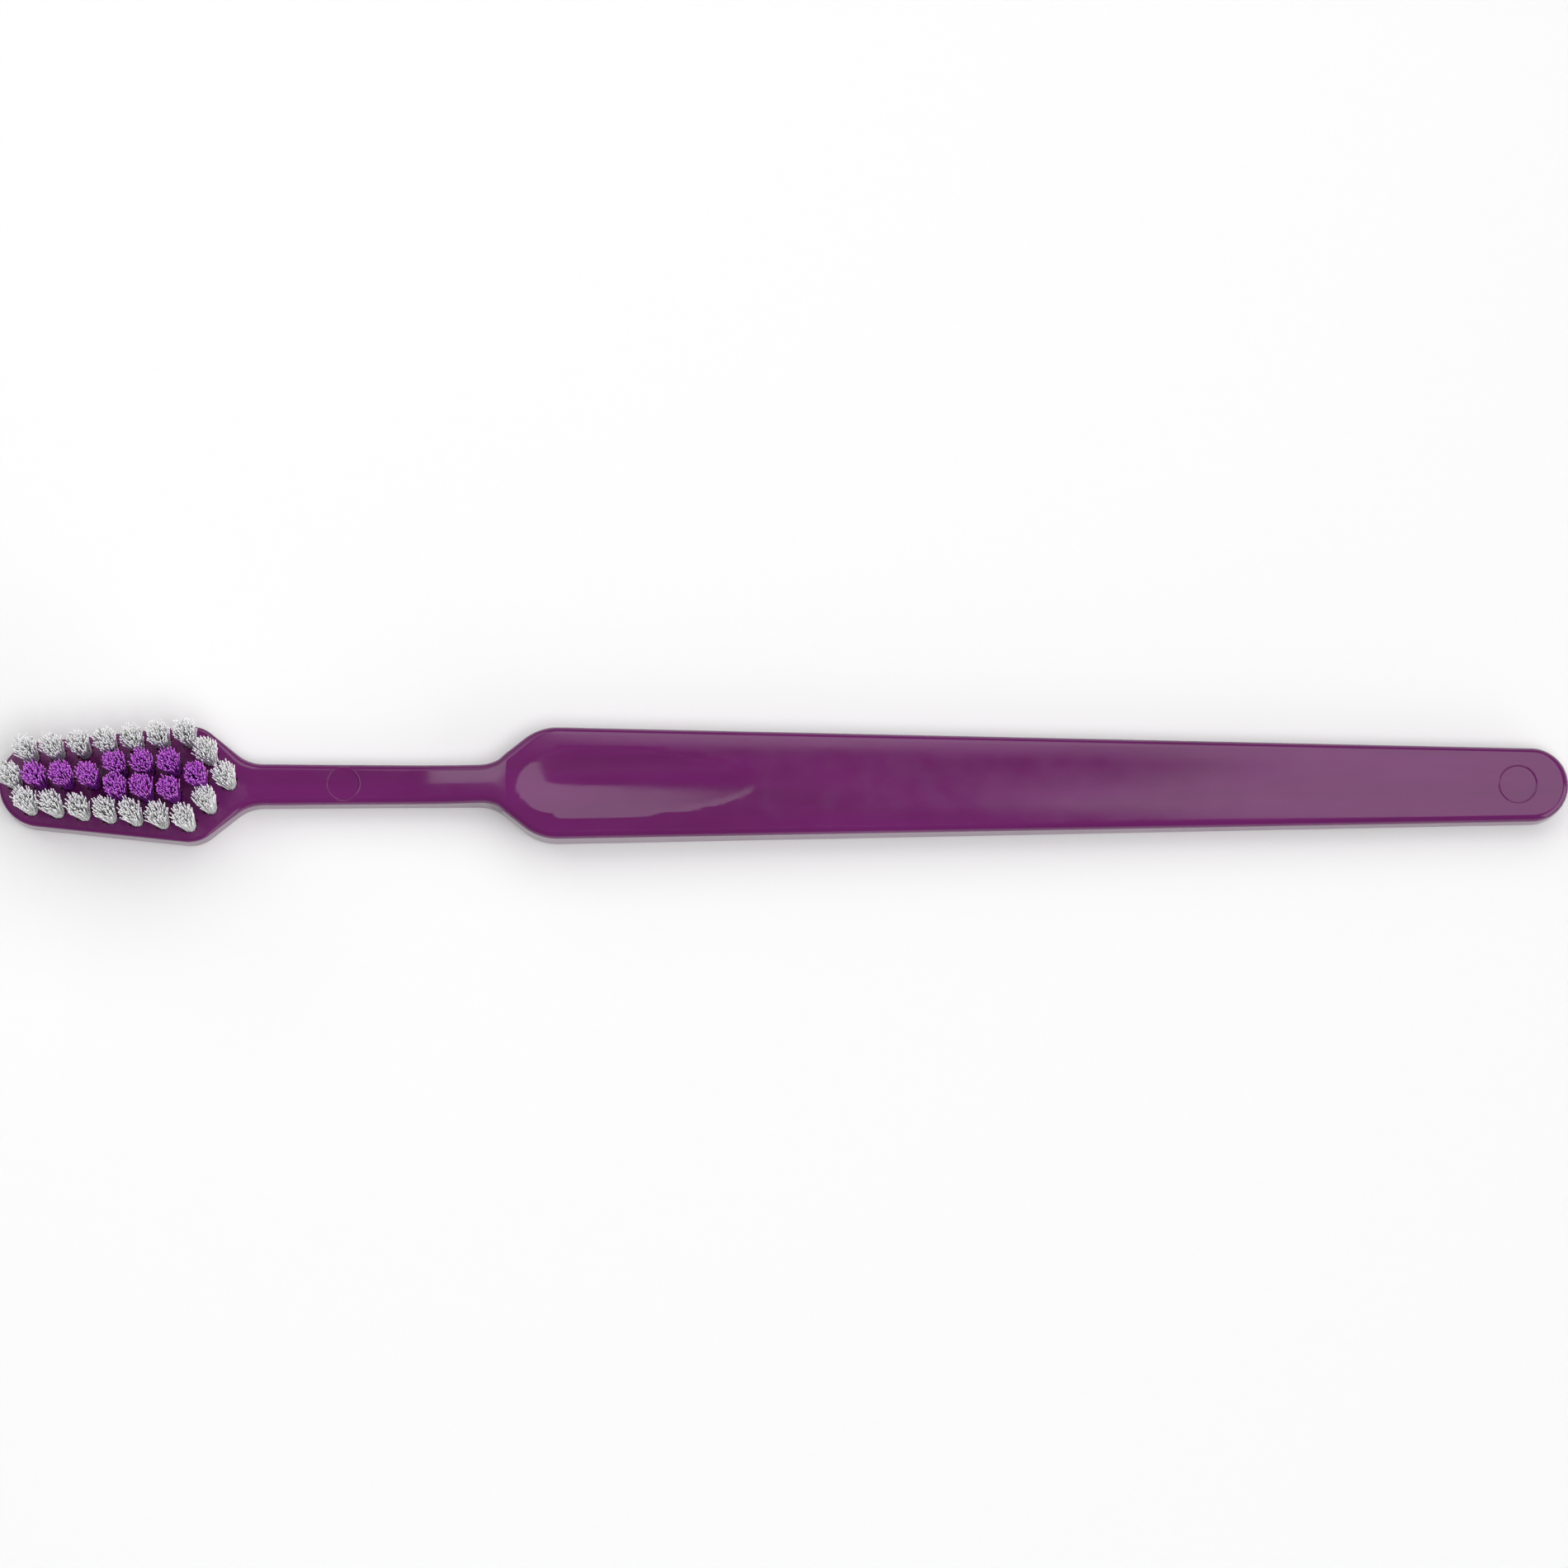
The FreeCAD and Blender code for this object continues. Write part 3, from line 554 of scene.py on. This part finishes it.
    def front_skin(self, outline: Array, edge: Array) -> tuple[Array, Array]:
        """Lays a grid of points over the front.

        Args:
            outline: The edge of the handle.
            edge: The rounding of the front's edge at each row of the outline.

        Returns:
            The points and their outward directions, in rows across the handle.
        """
        top = outline[:, :2] - outline[:, 2:] * edge[:, None]
        top[:, 1] = np.maximum(top[:, 1], 0)
        x = np.repeat(top[:, :1], self.rungs + 1, axis=1)
        y = top[:, 1:] * np.linspace(-1, 1, self.rungs + 1)
        tiny = 0.005
        slope_x = (self.front(x + tiny, y, outline) - self.front(x - tiny, y, outline)) / (2 * tiny)
        slope_y = (self.front(x, y + tiny, outline) - self.front(x, y - tiny, outline)) / (2 * tiny)
        up = np.stack((-slope_x, -slope_y, np.ones_like(x)), axis=2)
        up /= np.linalg.norm(up, axis=2, keepdims=True)
        return np.stack((x, y, self.front(x, y, outline)), axis=2), up

    def wall(
        self, side: Side, outline: Array, edge: Array, start: Array, lift: Array
    ) -> list[tuple[Array, Array]]:
        """Rounds one long side from the front down to the back.

        Args:
            side: Which side it is.
            outline: The edge of the handle.
            edge: The rounding of the front's edge at each row of the outline.
            start: The last points of the front on this side.
            lift: Their outward directions.

        Returns:
            Lines of points along the handle, each with its outward directions.
        """
        mirror = np.array((1, side.value, 1))
        level = np.zeros(len(outline))
        flat = np.column_stack((outline[:, 2:], level)) * mirror
        foot = np.column_stack((outline[:, :2], level)) * mirror
        out = flat - lift * np.sum(flat * lift, axis=1, keepdims=True)
        out /= np.linalg.norm(out, axis=1, keepdims=True)
        lines = []
        for angle in np.radians(np.linspace(0, 90, self.edge_rings)):
            way = lift * math.cos(angle) + out * math.sin(angle)
            lines.append((start + edge[:, None] * (way - lift), way))
        centre = foot - flat * self.back_edge + np.array((0, 0, self.back_edge))
        for angle in np.radians(np.linspace(0, 90, self.back_rings)):
            way = flat * math.cos(angle) - np.array((0, 0, math.sin(angle)))
            lines.append((centre + way * self.back_edge, way))
        return lines

    def skin(self) -> tuple[Array, Array, list[Face]]:
        """Builds the closed skin of the handle before anything is cut into it.

        Returns:
            Its points, their outward directions and its faces.
        """
        outline = self.outline()
        edge = np.interp(outline[:, 0], self.edge_change, (self.head_edge, self.grip_edge))
        spots, up = self.front_skin(outline, edge)
        count, wide = spots.shape[:2]
        points, ways = [spots.reshape(-1, 3)], [up.reshape(-1, 3)]
        faces = grid_faces(0, count, wide)
        base, bottoms = count * wide, []
        for side in Side:
            column = 0 if side is Side.LEFT else self.rungs
            lines = self.wall(side, outline, edge, spots[:, column], up[:, column])
            points += [line for line, _ in lines]
            ways += [way for _, way in lines]
            faces += grid_faces(base, len(lines), count)
            base += len(lines) * count
            bottoms.append(base - count)
        left, right = bottoms
        faces += [(left + row, left + row + 1, right + row + 1, right + row) for row in range(count - 1)]
        return np.concatenate(points), np.concatenate(ways), faces

    def rim(self, name: str, x: float, across: float, outline: Array) -> bpy.types.Object:
        """Makes the low bead that the joint of the ejector pin leaves round its mark.

        Args:
            name: The bead's name.
            x: The middle of the mark.
            across: The mark's diameter.
            outline: The edge of the handle.

        Returns:
            A ring that lies mostly in the plastic.
        """
        around, over = self.mark_sides, self.bead_sides
        vertices, faces = [], []
        for step in range(around):
            angle = 2 * math.pi * step / around
            way = np.array((math.cos(angle), math.sin(angle), 0.0))
            foot = way * across / 2 + (x, 0.0, 0.0)
            past = abs(foot[1]) - self.width(foot[0], outline) + self.grip_edge
            past = np.clip(past, 0, self.grip_edge)
            drop = self.grip_edge - math.sqrt(self.grip_edge**2 - past**2)
            level = self.front(foot[:1], foot[1:2], outline)[0] - drop - self.mark_rim + self.mark_proud
            a, b = step * over, (step + 1) % around * over
            for here, turn in enumerate(np.arange(over) * 2 * math.pi / over):
                spot = foot + way * self.mark_rim * math.cos(turn)
                height = level + self.mark_rim * math.sin(turn)
                vertices.append((spot[0] - self.length / 2, spot[1], height))
                after = (here + 1) % over
                faces.append((a + here, b + here, b + after, a + after))
        return add_object(name, new_mesh(name, np.array(vertices) * MM, faces))

    def block(
        self, name: str, loop: Array, span: tuple[float, float], places: Array, turn: float = 0.0
    ) -> bpy.types.Object:
        """Makes a cutter: one upright prism at each place.

        Args:
            name: The cutter's name.
            loop: The outline of the prism.
            span: Its lower and its upper end.
            places: Where the prisms stand.
            turn: Degrees by which it is turned.

        Returns:
            The cutter, which shows nowhere.
        """
        angle = math.radians(turn)
        spin = np.array(((math.cos(angle), math.sin(angle)), (-math.sin(angle), math.cos(angle))))
        count, vertices, faces = len(loop), [], []
        for place in places:
            first = len(vertices)
            for height in span:
                vertices += [(*spot, height) for spot in (loop @ spin + place)]
            lower = range(first, first + count)
            faces += [tuple(reversed(lower)), tuple(range(first + count, first + 2 * count))]
            faces += [(a, b, b + count, a + count) for a, b in zip(lower, (*lower[1:], first))]
        return add_object(name, new_mesh(name, np.array(vertices) * MM, faces))

    def cutters(self, holes: Array) -> list[bpy.types.Object]:
        """Makes the cutters for the tuft holes, the plates' slits and the ejector marks.

        Args:
            holes: The middles of the tuft holes.

        Returns:
            The cutters, in the order in which they cut.
        """
        outline = self.outline()
        long, wide, deep = self.slit
        bar = np.array(((-long, -wide), (long, -wide), (long, wide), (-long, wide))) / 2
        hole = circle(self.hole_sides) * self.hole_diameter / 2
        above = self.crest_height + self.cutter_head
        made = [
            self.block("hole_cutter", hole, (self.face - self.hole_depth, above), holes),
            self.block("slit_cutter", bar, (self.face - deep, above), holes, self.slit_angle),
        ]
        for number, (x, across) in enumerate(self.marks, start=1):
            loop = circle(self.mark_sides) * across / 2
            floor = self.front(np.array([x]), np.array([0.0]), outline)[0] - self.mark_depth
            spot = np.array([(x - self.length / 2, 0.0)])
            made.append(self.block(f"mark_cutter_{number}", loop, (floor, above), spot))
            made.append(self.rim(f"mark_rim_{number}", x, across, outline))
        return made

    def build(self, holes: Array) -> bpy.types.Object:
        """Builds and dresses the handle.

        Args:
            holes: The middles of the tuft holes.

        Returns:
            The handle.
        """
        points, ways, faces = self.skin()
        points = (points - (self.length / 2, 0, 0)) * MM
        shaped = bmesh.new()
        corners = [shaped.verts.new(point) for point in points]
        for face in faces:
            shaped.faces.new([corners[index] for index in face])
        bmesh.ops.remove_doubles(shaped, verts=shaped.verts, dist=self.weld * MM)
        bmesh.ops.dissolve_degenerate(shaped, edges=shaped.edges, dist=self.speck * MM)
        bmesh.ops.recalc_face_normals(shaped, faces=shaped.faces)
        mesh = bpy.data.meshes.new("handle_moulding")
        shaped.to_mesh(mesh)
        shaped.free()
        mesh.materials.append(self.finish.material())
        handle = add_object("handle_moulding", mesh)
        self.cut(handle, holes)
        self.smooth(handle.data, points, ways)
        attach(handle, "root")
        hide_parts(self.node)
        return handle

    def cut(self, handle: bpy.types.Object, holes: Array) -> None:
        """Cuts holes, slits and marks, adds the beads, and marks all that with a second material.

        Args:
            handle: The uncut handle.
            holes: The middles of the tuft holes.
        """
        cavity = bpy.data.materials.new("cavity")
        made = self.cutters(holes)
        for cutter in made:
            cutter.data.materials.append(cavity)
            cut = handle.modifiers.new(cutter.name, "BOOLEAN")
            cut.operation = "UNION" if cutter.name.startswith("mark_rim") else "DIFFERENCE"
            cut.solver, cut.material_mode = "EXACT", "TRANSFER"
            cut.object = cutter
        solved = handle.evaluated_get(bpy.context.evaluated_depsgraph_get())
        cut_mesh = bpy.data.meshes.new_from_object(solved)
        handle.modifiers.clear()
        handle.data = cut_mesh
        for cutter in made:
            bpy.data.objects.remove(cutter)

    def smooth(self, mesh: bpy.types.Mesh, points: Array, ways: Array) -> None:
        """Gives the skin its exact normals, leaves what was cut into it flat, and drops its mark.

        Args:
            mesh: The cut handle.
            points: The points of the uncut skin.
            ways: Their outward directions.
        """
        tree = KDTree(len(points))
        for index, point in enumerate(points):
            tree.insert(point, index)
        tree.balance()
        normals = []
        for vertex in mesh.vertices:
            found = tree.find_n(vertex.co, self.blend_points)
            near = np.array([max(distance, 1e-9) for _, _, distance in found])
            way = np.sum(ways[[index for _, index, _ in found]] / near[:, None] ** 2, axis=0)
            normals.append(way / np.linalg.norm(way))
        split = []
        for face in mesh.polygons:
            cut = face.material_index > 0
            face.material_index = 0
            face.use_smooth = True
            split += [face.normal if cut else normals[index] for index in face.vertices]
        mesh.normals_split_custom_set(split)
        while len(mesh.materials) > 1:
            mesh.materials.pop()


@dataclass
class Anchors:
    """The metal plates inside the head that hold the folded tufts."""

    node: str = "anchor_plates"
    finish: ShearedBrass = ShearedBrass()

    def dress(self) -> bpy.types.Object:
        """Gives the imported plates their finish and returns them."""
        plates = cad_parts[self.node]
        plates.data.materials.clear()
        plates.data.materials.append(self.finish.material())
        return plates


@dataclass
class Bristles:
    """All tufts of the head. Lengths are in millimetres."""

    face: float = 4.6
    filament: float = 0.14
    pitch: float = 0.126
    mouth_radius: float = 0.875
    plate_half: float = 0.15
    plate_drop: float = 2.5
    plate_angle: float = 35.0
    fold_depth: float = 0.68
    tip_radius: float = 1.5
    tip_limit: float = 1.7
    tip_spread: float = 0.08
    jitter: float = 0.09
    cell_margin: float = 0.06
    trim_spread: float = 0.18
    clumps: int = 24
    clump_pull: float = 0.06
    lean: float = 0.04
    sides: int = 4
    seed: int = 28
    stations: tuple[float, ...] = (1.0, 0.66, 0.33)
    bow: float = 0.28
    mouth_sink: float = 0.1
    fold_turns: tuple[float, ...] = (60.0, 120.0)
    clump_range: tuple[float, float] = (0.4, 1.2)
    lean_limit: float = 0.08
    neighbour_range: float = 6.8
    tip_inset: float = 0.7
    tip_taper: float = 0.55
    strip_fill: float = 0.9
    strip_margin: float = 0.01
    foot_band: float = 0.01
    # The second colour of each nylon is its tip, painted paler as a painted highlight on the tufts' tops.
    whites: DrawnNylon = DrawnNylon("nylon_white_drawn", "#F5F4F7", "#FBFAFC")
    purples: DrawnNylon = DrawnNylon("nylon_purple_drawn", "#9E2FC2", "#CC68E4")

    @property
    def reach(self) -> float:
        """How far from a hole's middle the middle of a filament can lie."""
        return self.mouth_radius - self.filament / 2

    @property
    def first(self) -> float:
        """How far from the plate's middle the row of filaments beside it lies."""
        return self.plate_half + self.filament / 2

    def build(self) -> list[bpy.types.Object]:
        """Builds and dresses every tuft, and returns one object for each tuft node."""
        dice = np.random.default_rng(self.seed)
        finishes = {Shade.WHITE: self.whites.material(), Shade.PURPLE: self.purples.material()}
        pieces = []
        for shade in Shade:
            start, slot = shade.value
            for node in sorted(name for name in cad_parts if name.startswith(start)):
                pieces.append(self.build_tuft(node, finishes[shade], dice))
        return pieces

    def axis(self, node: str) -> Array:
        """Finds the middle of a packed tuft's foot, in millimetres."""
        points = np.array([vertex.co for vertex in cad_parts[node].data.vertices]) / MM
        foot = points[points[:, 2] < points[:, 2].min() + self.foot_band]
        return np.unique(foot.round(3), axis=0)[:, :2].mean(axis=0)

    def holes(self) -> Array:
        """Finds the middles of all tuft holes, in millimetres."""
        starts = tuple(shade.value[0] for shade in Shade)
        return np.array([self.axis(name) for name in sorted(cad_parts) if name.startswith(starts)])

    def sites(self) -> Array:
        """Packs filaments into half a hole, and returns their places along the plate and out from it."""
        steps = math.ceil(2 * self.reach / self.pitch)
        spots = []
        for row in range(steps):
            out = self.first + row * self.pitch * math.sqrt(3) / 2
            for step in range(-steps, steps + 1):
                along = (step + 0.5 * (row % 2)) * self.pitch
                if math.hypot(along, out) <= self.reach:
                    spots.append((along, out))
        return np.array(spots)

    def mouth(self, sites: Array) -> Array:
        """Moves places beside the plate to the hole's mouth, where the halves of a tuft close up."""
        reach, first = self.reach, self.first
        out = self.pitch / 2 + (sites[:, 1] - first) * (reach - self.pitch / 2) / (reach - first)
        room = np.sqrt(np.maximum(reach**2 - out**2, 0) / np.maximum(reach**2 - sites[:, 1] ** 2, 1e-4))
        return np.column_stack((sites[:, 0] * np.minimum(room, 1.0), out))

    def half_path(self, site: Array, foot: Array, tip: Array) -> Array:
        """Traces one half of a filament from its tip down to the plate's lower edge.

        Args:
            site: Its place beside the plate.
            foot: Its place at the mouth of the hole.
            tip: Its trimmed end.

        Returns:
            Points of its middle line.
        """
        points = []
        for share in self.stations:
            bend = (1 - self.bow) * share + self.bow * share**2
            points.append((*(foot + (tip[:2] - foot) * bend), tip[2] * share))
        return np.array([*points, (*foot, -self.mouth_sink), (*site, -self.plate_drop)])

    def filament_path(self, site: Array, foot: Array, tips: Array) -> Array:
        """Traces a whole filament: down one side of the plate, under it and up again.

        Args:
            site: Its place beside the plate, along it and out from it.
            foot: Its place at the mouth of the hole.
            tips: Its two trimmed ends.

        Returns:
            Points of its middle line, from end to end.
        """
        other = np.array((1, -1))
        down = self.half_path(site, foot, tips[0])
        rise = self.half_path(site * other, foot * other, tips[1])[::-1]
        along, out = site
        depth = self.fold_depth * out / self.reach
        turns = np.radians(self.fold_turns)
        fold = np.stack((
            np.full(len(turns), along), out * np.cos(turns), -self.plate_drop - depth * np.sin(turns)
        ), axis=1)
        return np.concatenate((down, fold, rise))

    def tips(
        self, feet: Array, height: float, others: Array, dice: np.random.Generator
    ) -> Array:
        """Splays, clumps and trims the free ends of one tuft, within its share of the head.

        Args:
            feet: Where the filaments leave the hole.
            height: The tuft's height over the face.
            others: Where the other tufts stand from this one.
            dice: The source of chance.

        Returns:
            The trimmed ends.
        """
        flat = feet * (self.tip_radius / self.reach)
        flat = flat * (1 + dice.normal(0, self.tip_spread, (len(feet), 1)))
        flat = flat + dice.normal(0, self.jitter, (len(feet), 2))
        heads = flat[dice.choice(len(flat), self.clumps, replace=False)]
        nearest = np.argmin(np.linalg.norm(flat[:, None] - heads[None], axis=2), axis=1)
        pull = dice.uniform(*self.clump_range, (len(feet), 1))
        flat = flat + (heads[nearest] - flat) * self.clump_pull * pull
        far = np.linalg.norm(flat, axis=1, keepdims=True)
        flat = flat * np.minimum(1.0, self.tip_limit / np.maximum(far, 1e-6))
        flat = flat + np.clip(dice.normal(0, self.lean, 2), -self.lean_limit, self.lean_limit)
        for other in others:
            apart = np.linalg.norm(other)
            past = flat @ other / apart - apart / 2 + self.cell_margin
            flat = flat - np.maximum(past, 0)[:, None] * other / apart
        trim = height - np.abs(dice.normal(0, self.trim_spread, len(feet)))
        return np.column_stack((flat, trim))

    def tube(self, path: Array) -> tuple[Array, Array]:
        """Gives a filament its thickness, with a rounded tip at both ends.

        Args:
            path: Points of its middle line.

        Returns:
            The rings of points, and how far along each ring is in millimetres.
        """
        radius = self.filament / 2
        heading = np.gradient(path, axis=0)
        heading /= np.linalg.norm(heading, axis=1, keepdims=True)
        inset = path[[0, -1]] + np.stack((heading[0], -heading[-1])) * radius * self.tip_inset
        path = np.concatenate((path[:1], inset[:1], path[1:-1], inset[1:], path[-1:]))
        heading = np.concatenate((heading[:1], heading, heading[-1:]))
        across = np.cross(heading, (1.0, 0.0, 0.0))
        across /= np.linalg.norm(across, axis=1, keepdims=True)
        beside = np.cross(heading, across)
        widths = np.full(len(path), radius)
        widths[[0, -1]] = radius * self.tip_taper
        angles = (2 * np.pi * np.arange(self.sides) / self.sides)[None, :, None]
        ring = across[:, None] * np.cos(angles) + beside[:, None] * np.sin(angles)
        steps = np.linalg.norm(np.diff(path, axis=0), axis=1)
        return path[:, None] + ring * widths[:, None, None], np.concatenate(((0.0,), np.cumsum(steps)))

    def weave(
        self, paths: list[Array], height: float, dice: np.random.Generator
    ) -> tuple[Array, list[Face], list[tuple[float, float]], dict[str, Array]]:
        """Turns middle lines into the skins of filaments.

        Args:
            paths: The filaments' middle lines, all with the same number of points.
            height: The tuft's height over the face.
            dice: The source of chance.

        Returns:
            Points, faces, the place of each face's corners in the layout, and the rise and tone of
            each point.
        """
        points, faces, places, rises, tones = [], [], [], [], []
        sides = self.sides
        for number, path in enumerate(paths):
            rings, marks = self.tube(path)
            skin = np.concatenate((rings.reshape(-1, 3), path[[0, -1]]))
            points.append(skin)
            rises.append(np.clip(skin[:, 2] / height, 0, 1))
            tones.append(np.full(len(skin), dice.uniform()))
            first = number * len(skin)
            last = first + (len(rings) - 1) * sides
            top, bottom = last + sides, last + sides + 1
            left, wide = number / len(paths), self.strip_fill / len(paths)
            marks = self.strip_margin + (1 - 2 * self.strip_margin) * marks / marks[-1]
            for side in range(sides):
                other = (side + 1) % sides
                near, far = left + wide * side / sides, left + wide * (side + 1) / sides
                for step, (low, high) in enumerate(zip(marks, marks[1:])):
                    a = first + step * sides
                    faces.append((a + side, a + other, a + sides + other, a + sides + side))
                    places += [(near, low), (far, low), (far, high), (near, high)]
                middle = (near + far) / 2
                faces += [(top, first + other, first + side), (bottom, last + side, last + other)]
                places += [(middle, 0.0), (far, marks[0]), (near, marks[0])]
                places += [(middle, 1.0), (near, marks[-1]), (far, marks[-1])]
        values = {"rise": np.concatenate(rises), "tone": np.concatenate(tones)}
        return np.concatenate(points), faces, places, values

    def build_tuft(
        self, node: str, finish: bpy.types.Material, dice: np.random.Generator
    ) -> bpy.types.Object:
        """Builds one tuft of folded filaments in the place of its node.

        Args:
            node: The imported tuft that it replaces.
            finish: The nylon that it is made of.
            dice: The source of chance.

        Returns:
            The tuft.
        """
        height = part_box(node)[1].z / MM - self.face
        sites = self.sites()
        feet = self.mouth(sites)
        turn = math.radians(self.plate_angle)
        spin = np.array((
            (math.cos(turn), math.sin(turn), 0), (-math.sin(turn), math.cos(turn), 0), (0, 0, 1)
        ))
        others = (self.holes() - self.axis(node)) @ spin[:2, :2].T
        apart = np.linalg.norm(others, axis=1)
        others = others[(apart > 0) & (apart < self.neighbour_range)]
        ends = self.tips(np.concatenate((feet, feet * (1, -1))), height, others, dice)
        pairs = np.stack((ends[: len(sites)], ends[len(sites) :]), axis=1)
        paths = [self.filament_path(*parts) for parts in zip(sites, feet, pairs)]
        points, faces, places, values = self.weave(paths, height, dice)
        name = f"{node}_filaments"
        mesh = new_mesh(name, (points @ spin + (*self.axis(node), self.face)) * MM, faces)
        mesh.shade_smooth()
        layout = mesh.uv_layers.new(name="OFBake")
        layout.data.foreach_set("uv", np.array(places, np.float32).ravel())
        for kind, numbers in values.items():
            mesh.attributes.new(kind, "FLOAT", "POINT").data.foreach_set("value", numbers)
        mesh.materials.append(finish)
        tuft = add_object(name, mesh)
        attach(tuft, "root")
        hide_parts(node)
        return tuft


@dataclass
class Diffuser:
    """A flat panel of even light over the brush. Lengths are in metres."""

    name: str
    corners: tuple[tuple[float, float], ...]
    height: float
    glow: float

    def hang(self) -> bpy.types.Object:
        """Hangs the panel and returns it."""
        points = [(*corner, self.height) for corner in self.corners]
        mesh = new_mesh(self.name, points, [tuple(range(len(points)))])
        material, tree, surface = new_material(f"{self.name}_light")
        light = add_node(tree, "Emission", {"Color": WHITE_LIGHT, "Strength": self.glow})
        tree.links.new(light.outputs[0], surface)
        mesh.materials.append(material)
        panel = add_object(self.name, mesh)
        panel.visible_camera = False
        return panel


@dataclass
class Softbox:
    """A rectangular lamp with a diffuser, aimed at a point. Lengths are in metres.

    A polarised lamp, one with a filter crossed to the camera's, isn't seen in reflections.
    """

    name: str
    place: Point
    size: tuple[float, float]
    power: float
    polarised: bool = False
    aim: Point = (0.0, 0.0, 0.0)

    def hang(self) -> bpy.types.Object:
        """Hangs the lamp and returns it."""
        lamp = bpy.data.lights.new(self.name, "AREA")
        lamp.shape = "RECTANGLE"
        lamp.size, lamp.size_y = self.size
        lamp.energy = self.power
        hung = add_object(self.name, lamp)
        hung.location = self.place
        hung.rotation_mode = "QUATERNION"
        hung.rotation_quaternion = (Vector(self.aim) - Vector(self.place)).to_track_quat("-Z", "Y")
        hung.visible_camera = False
        hung.visible_glossy = not self.polarised
        return hung


@dataclass
class Studio:
    """Floor, lamps and camera. Lengths are in metres."""

    floor_size: float = 6.0
    floor_drop: float = 0.0001
    paper: StudioPaper = StudioPaper()
    ambient: float = 0.2
    camera_distance: float = 0.80
    camera_elevation: float = 81.8
    camera_aim: Point = (0.0, 0.0003, 0.0023)
    view_width: float = 0.1902
    sensor: float = 36.0
    clip: tuple[float, float] = (0.01, 50.0)
    lamps: tuple[Diffuser | Softbox, ...] = (
        Diffuser("left_panel", (
            (-0.60, 0.120), (-0.165, 0.108), (-0.165, 0.40), (-0.60, 0.40),
        ), 0.70, 2.45),
        Diffuser("overhead_panel", (
            (-0.036, 0.136), (0.06, 0.120), (0.115, 0.090), (0.17, -0.30), (0.60, -0.30), (0.60, 1.0),
            (-0.095, 1.0), (-0.085, 0.5), (-0.075, 0.28), (-0.055, 0.19),
        ), 0.70, 1.95),
        Softbox("key_softbox", (-0.60, 0.80, 0.75), (1.0, 0.9), 2.5),
        Softbox("fill_softbox", (1.0, -0.5, 0.4), (1.4, 0.8), 7.0),
        Softbox("camera_fill", (0.12, -0.25, 1.1), (0.5, 0.5), 7.5, polarised=True),
    )

    def lay_floor(self) -> bpy.types.Object:
        """Lays the paper under the brush and returns it."""
        half = self.floor_size / 2
        square = ((-half, -half), (half, -half), (half, half), (-half, half))
        corners = [(*corner, -self.floor_drop) for corner in square]
        mesh = new_mesh("studio_floor", corners, [(0, 1, 2, 3)])
        mesh.materials.append(self.paper.material())
        floor = add_object("studio_floor", mesh)
        return floor

    def light(self) -> None:
        """Hangs the lamps and sets the light of the room."""
        for lamp in self.lamps:
            lamp.hang()
        world = bpy.data.worlds.new("studio_room")
        world.use_nodes = True
        room = world.node_tree.nodes["Background"]
        room.inputs["Color"].default_value = WHITE_LIGHT
        room.inputs["Strength"].default_value = self.ambient
        bpy.context.scene.world = world
        bpy.context.scene.view_settings.view_transform = "Standard"

    def place_camera(self) -> bpy.types.Object:
        """Puts the camera over the brush and returns it."""
        data = bpy.data.cameras.new("camera")
        data.sensor_width = self.sensor
        data.lens = self.sensor * self.camera_distance / self.view_width
        data.clip_start, data.clip_end = self.clip
        camera = add_object("camera", data)
        height = math.radians(self.camera_elevation)
        back = Vector((0.0, -math.cos(height), math.sin(height)))
        camera.location = Vector(self.camera_aim) + back * self.camera_distance
        camera.rotation_mode = "QUATERNION"
        camera.rotation_quaternion = (-back).to_track_quat("-Z", "Y")
        bpy.context.scene.camera = camera
        return camera


def main() -> None:
    """Builds the brush and its studio in order, and notes each piece as it is made."""
    logging.basicConfig(level=logging.INFO, format="%(name)s: %(message)s")
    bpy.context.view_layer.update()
    bristles = Bristles()
    handle = Handle().build(bristles.holes())
    log.info("%s built, %d faces", handle.name, len(handle.data.polygons))
    log.info("%s dressed", Anchors().dress().name)
    for tuft in bristles.build():
        log.info("%s built, %d faces", tuft.name, len(tuft.data.polygons))
    studio = Studio()
    studio.lay_floor()
    studio.light()
    log.info("%s placed", studio.place_camera().name)
    bpy.context.view_layer.update()


if __name__ == "__main__":
    main()
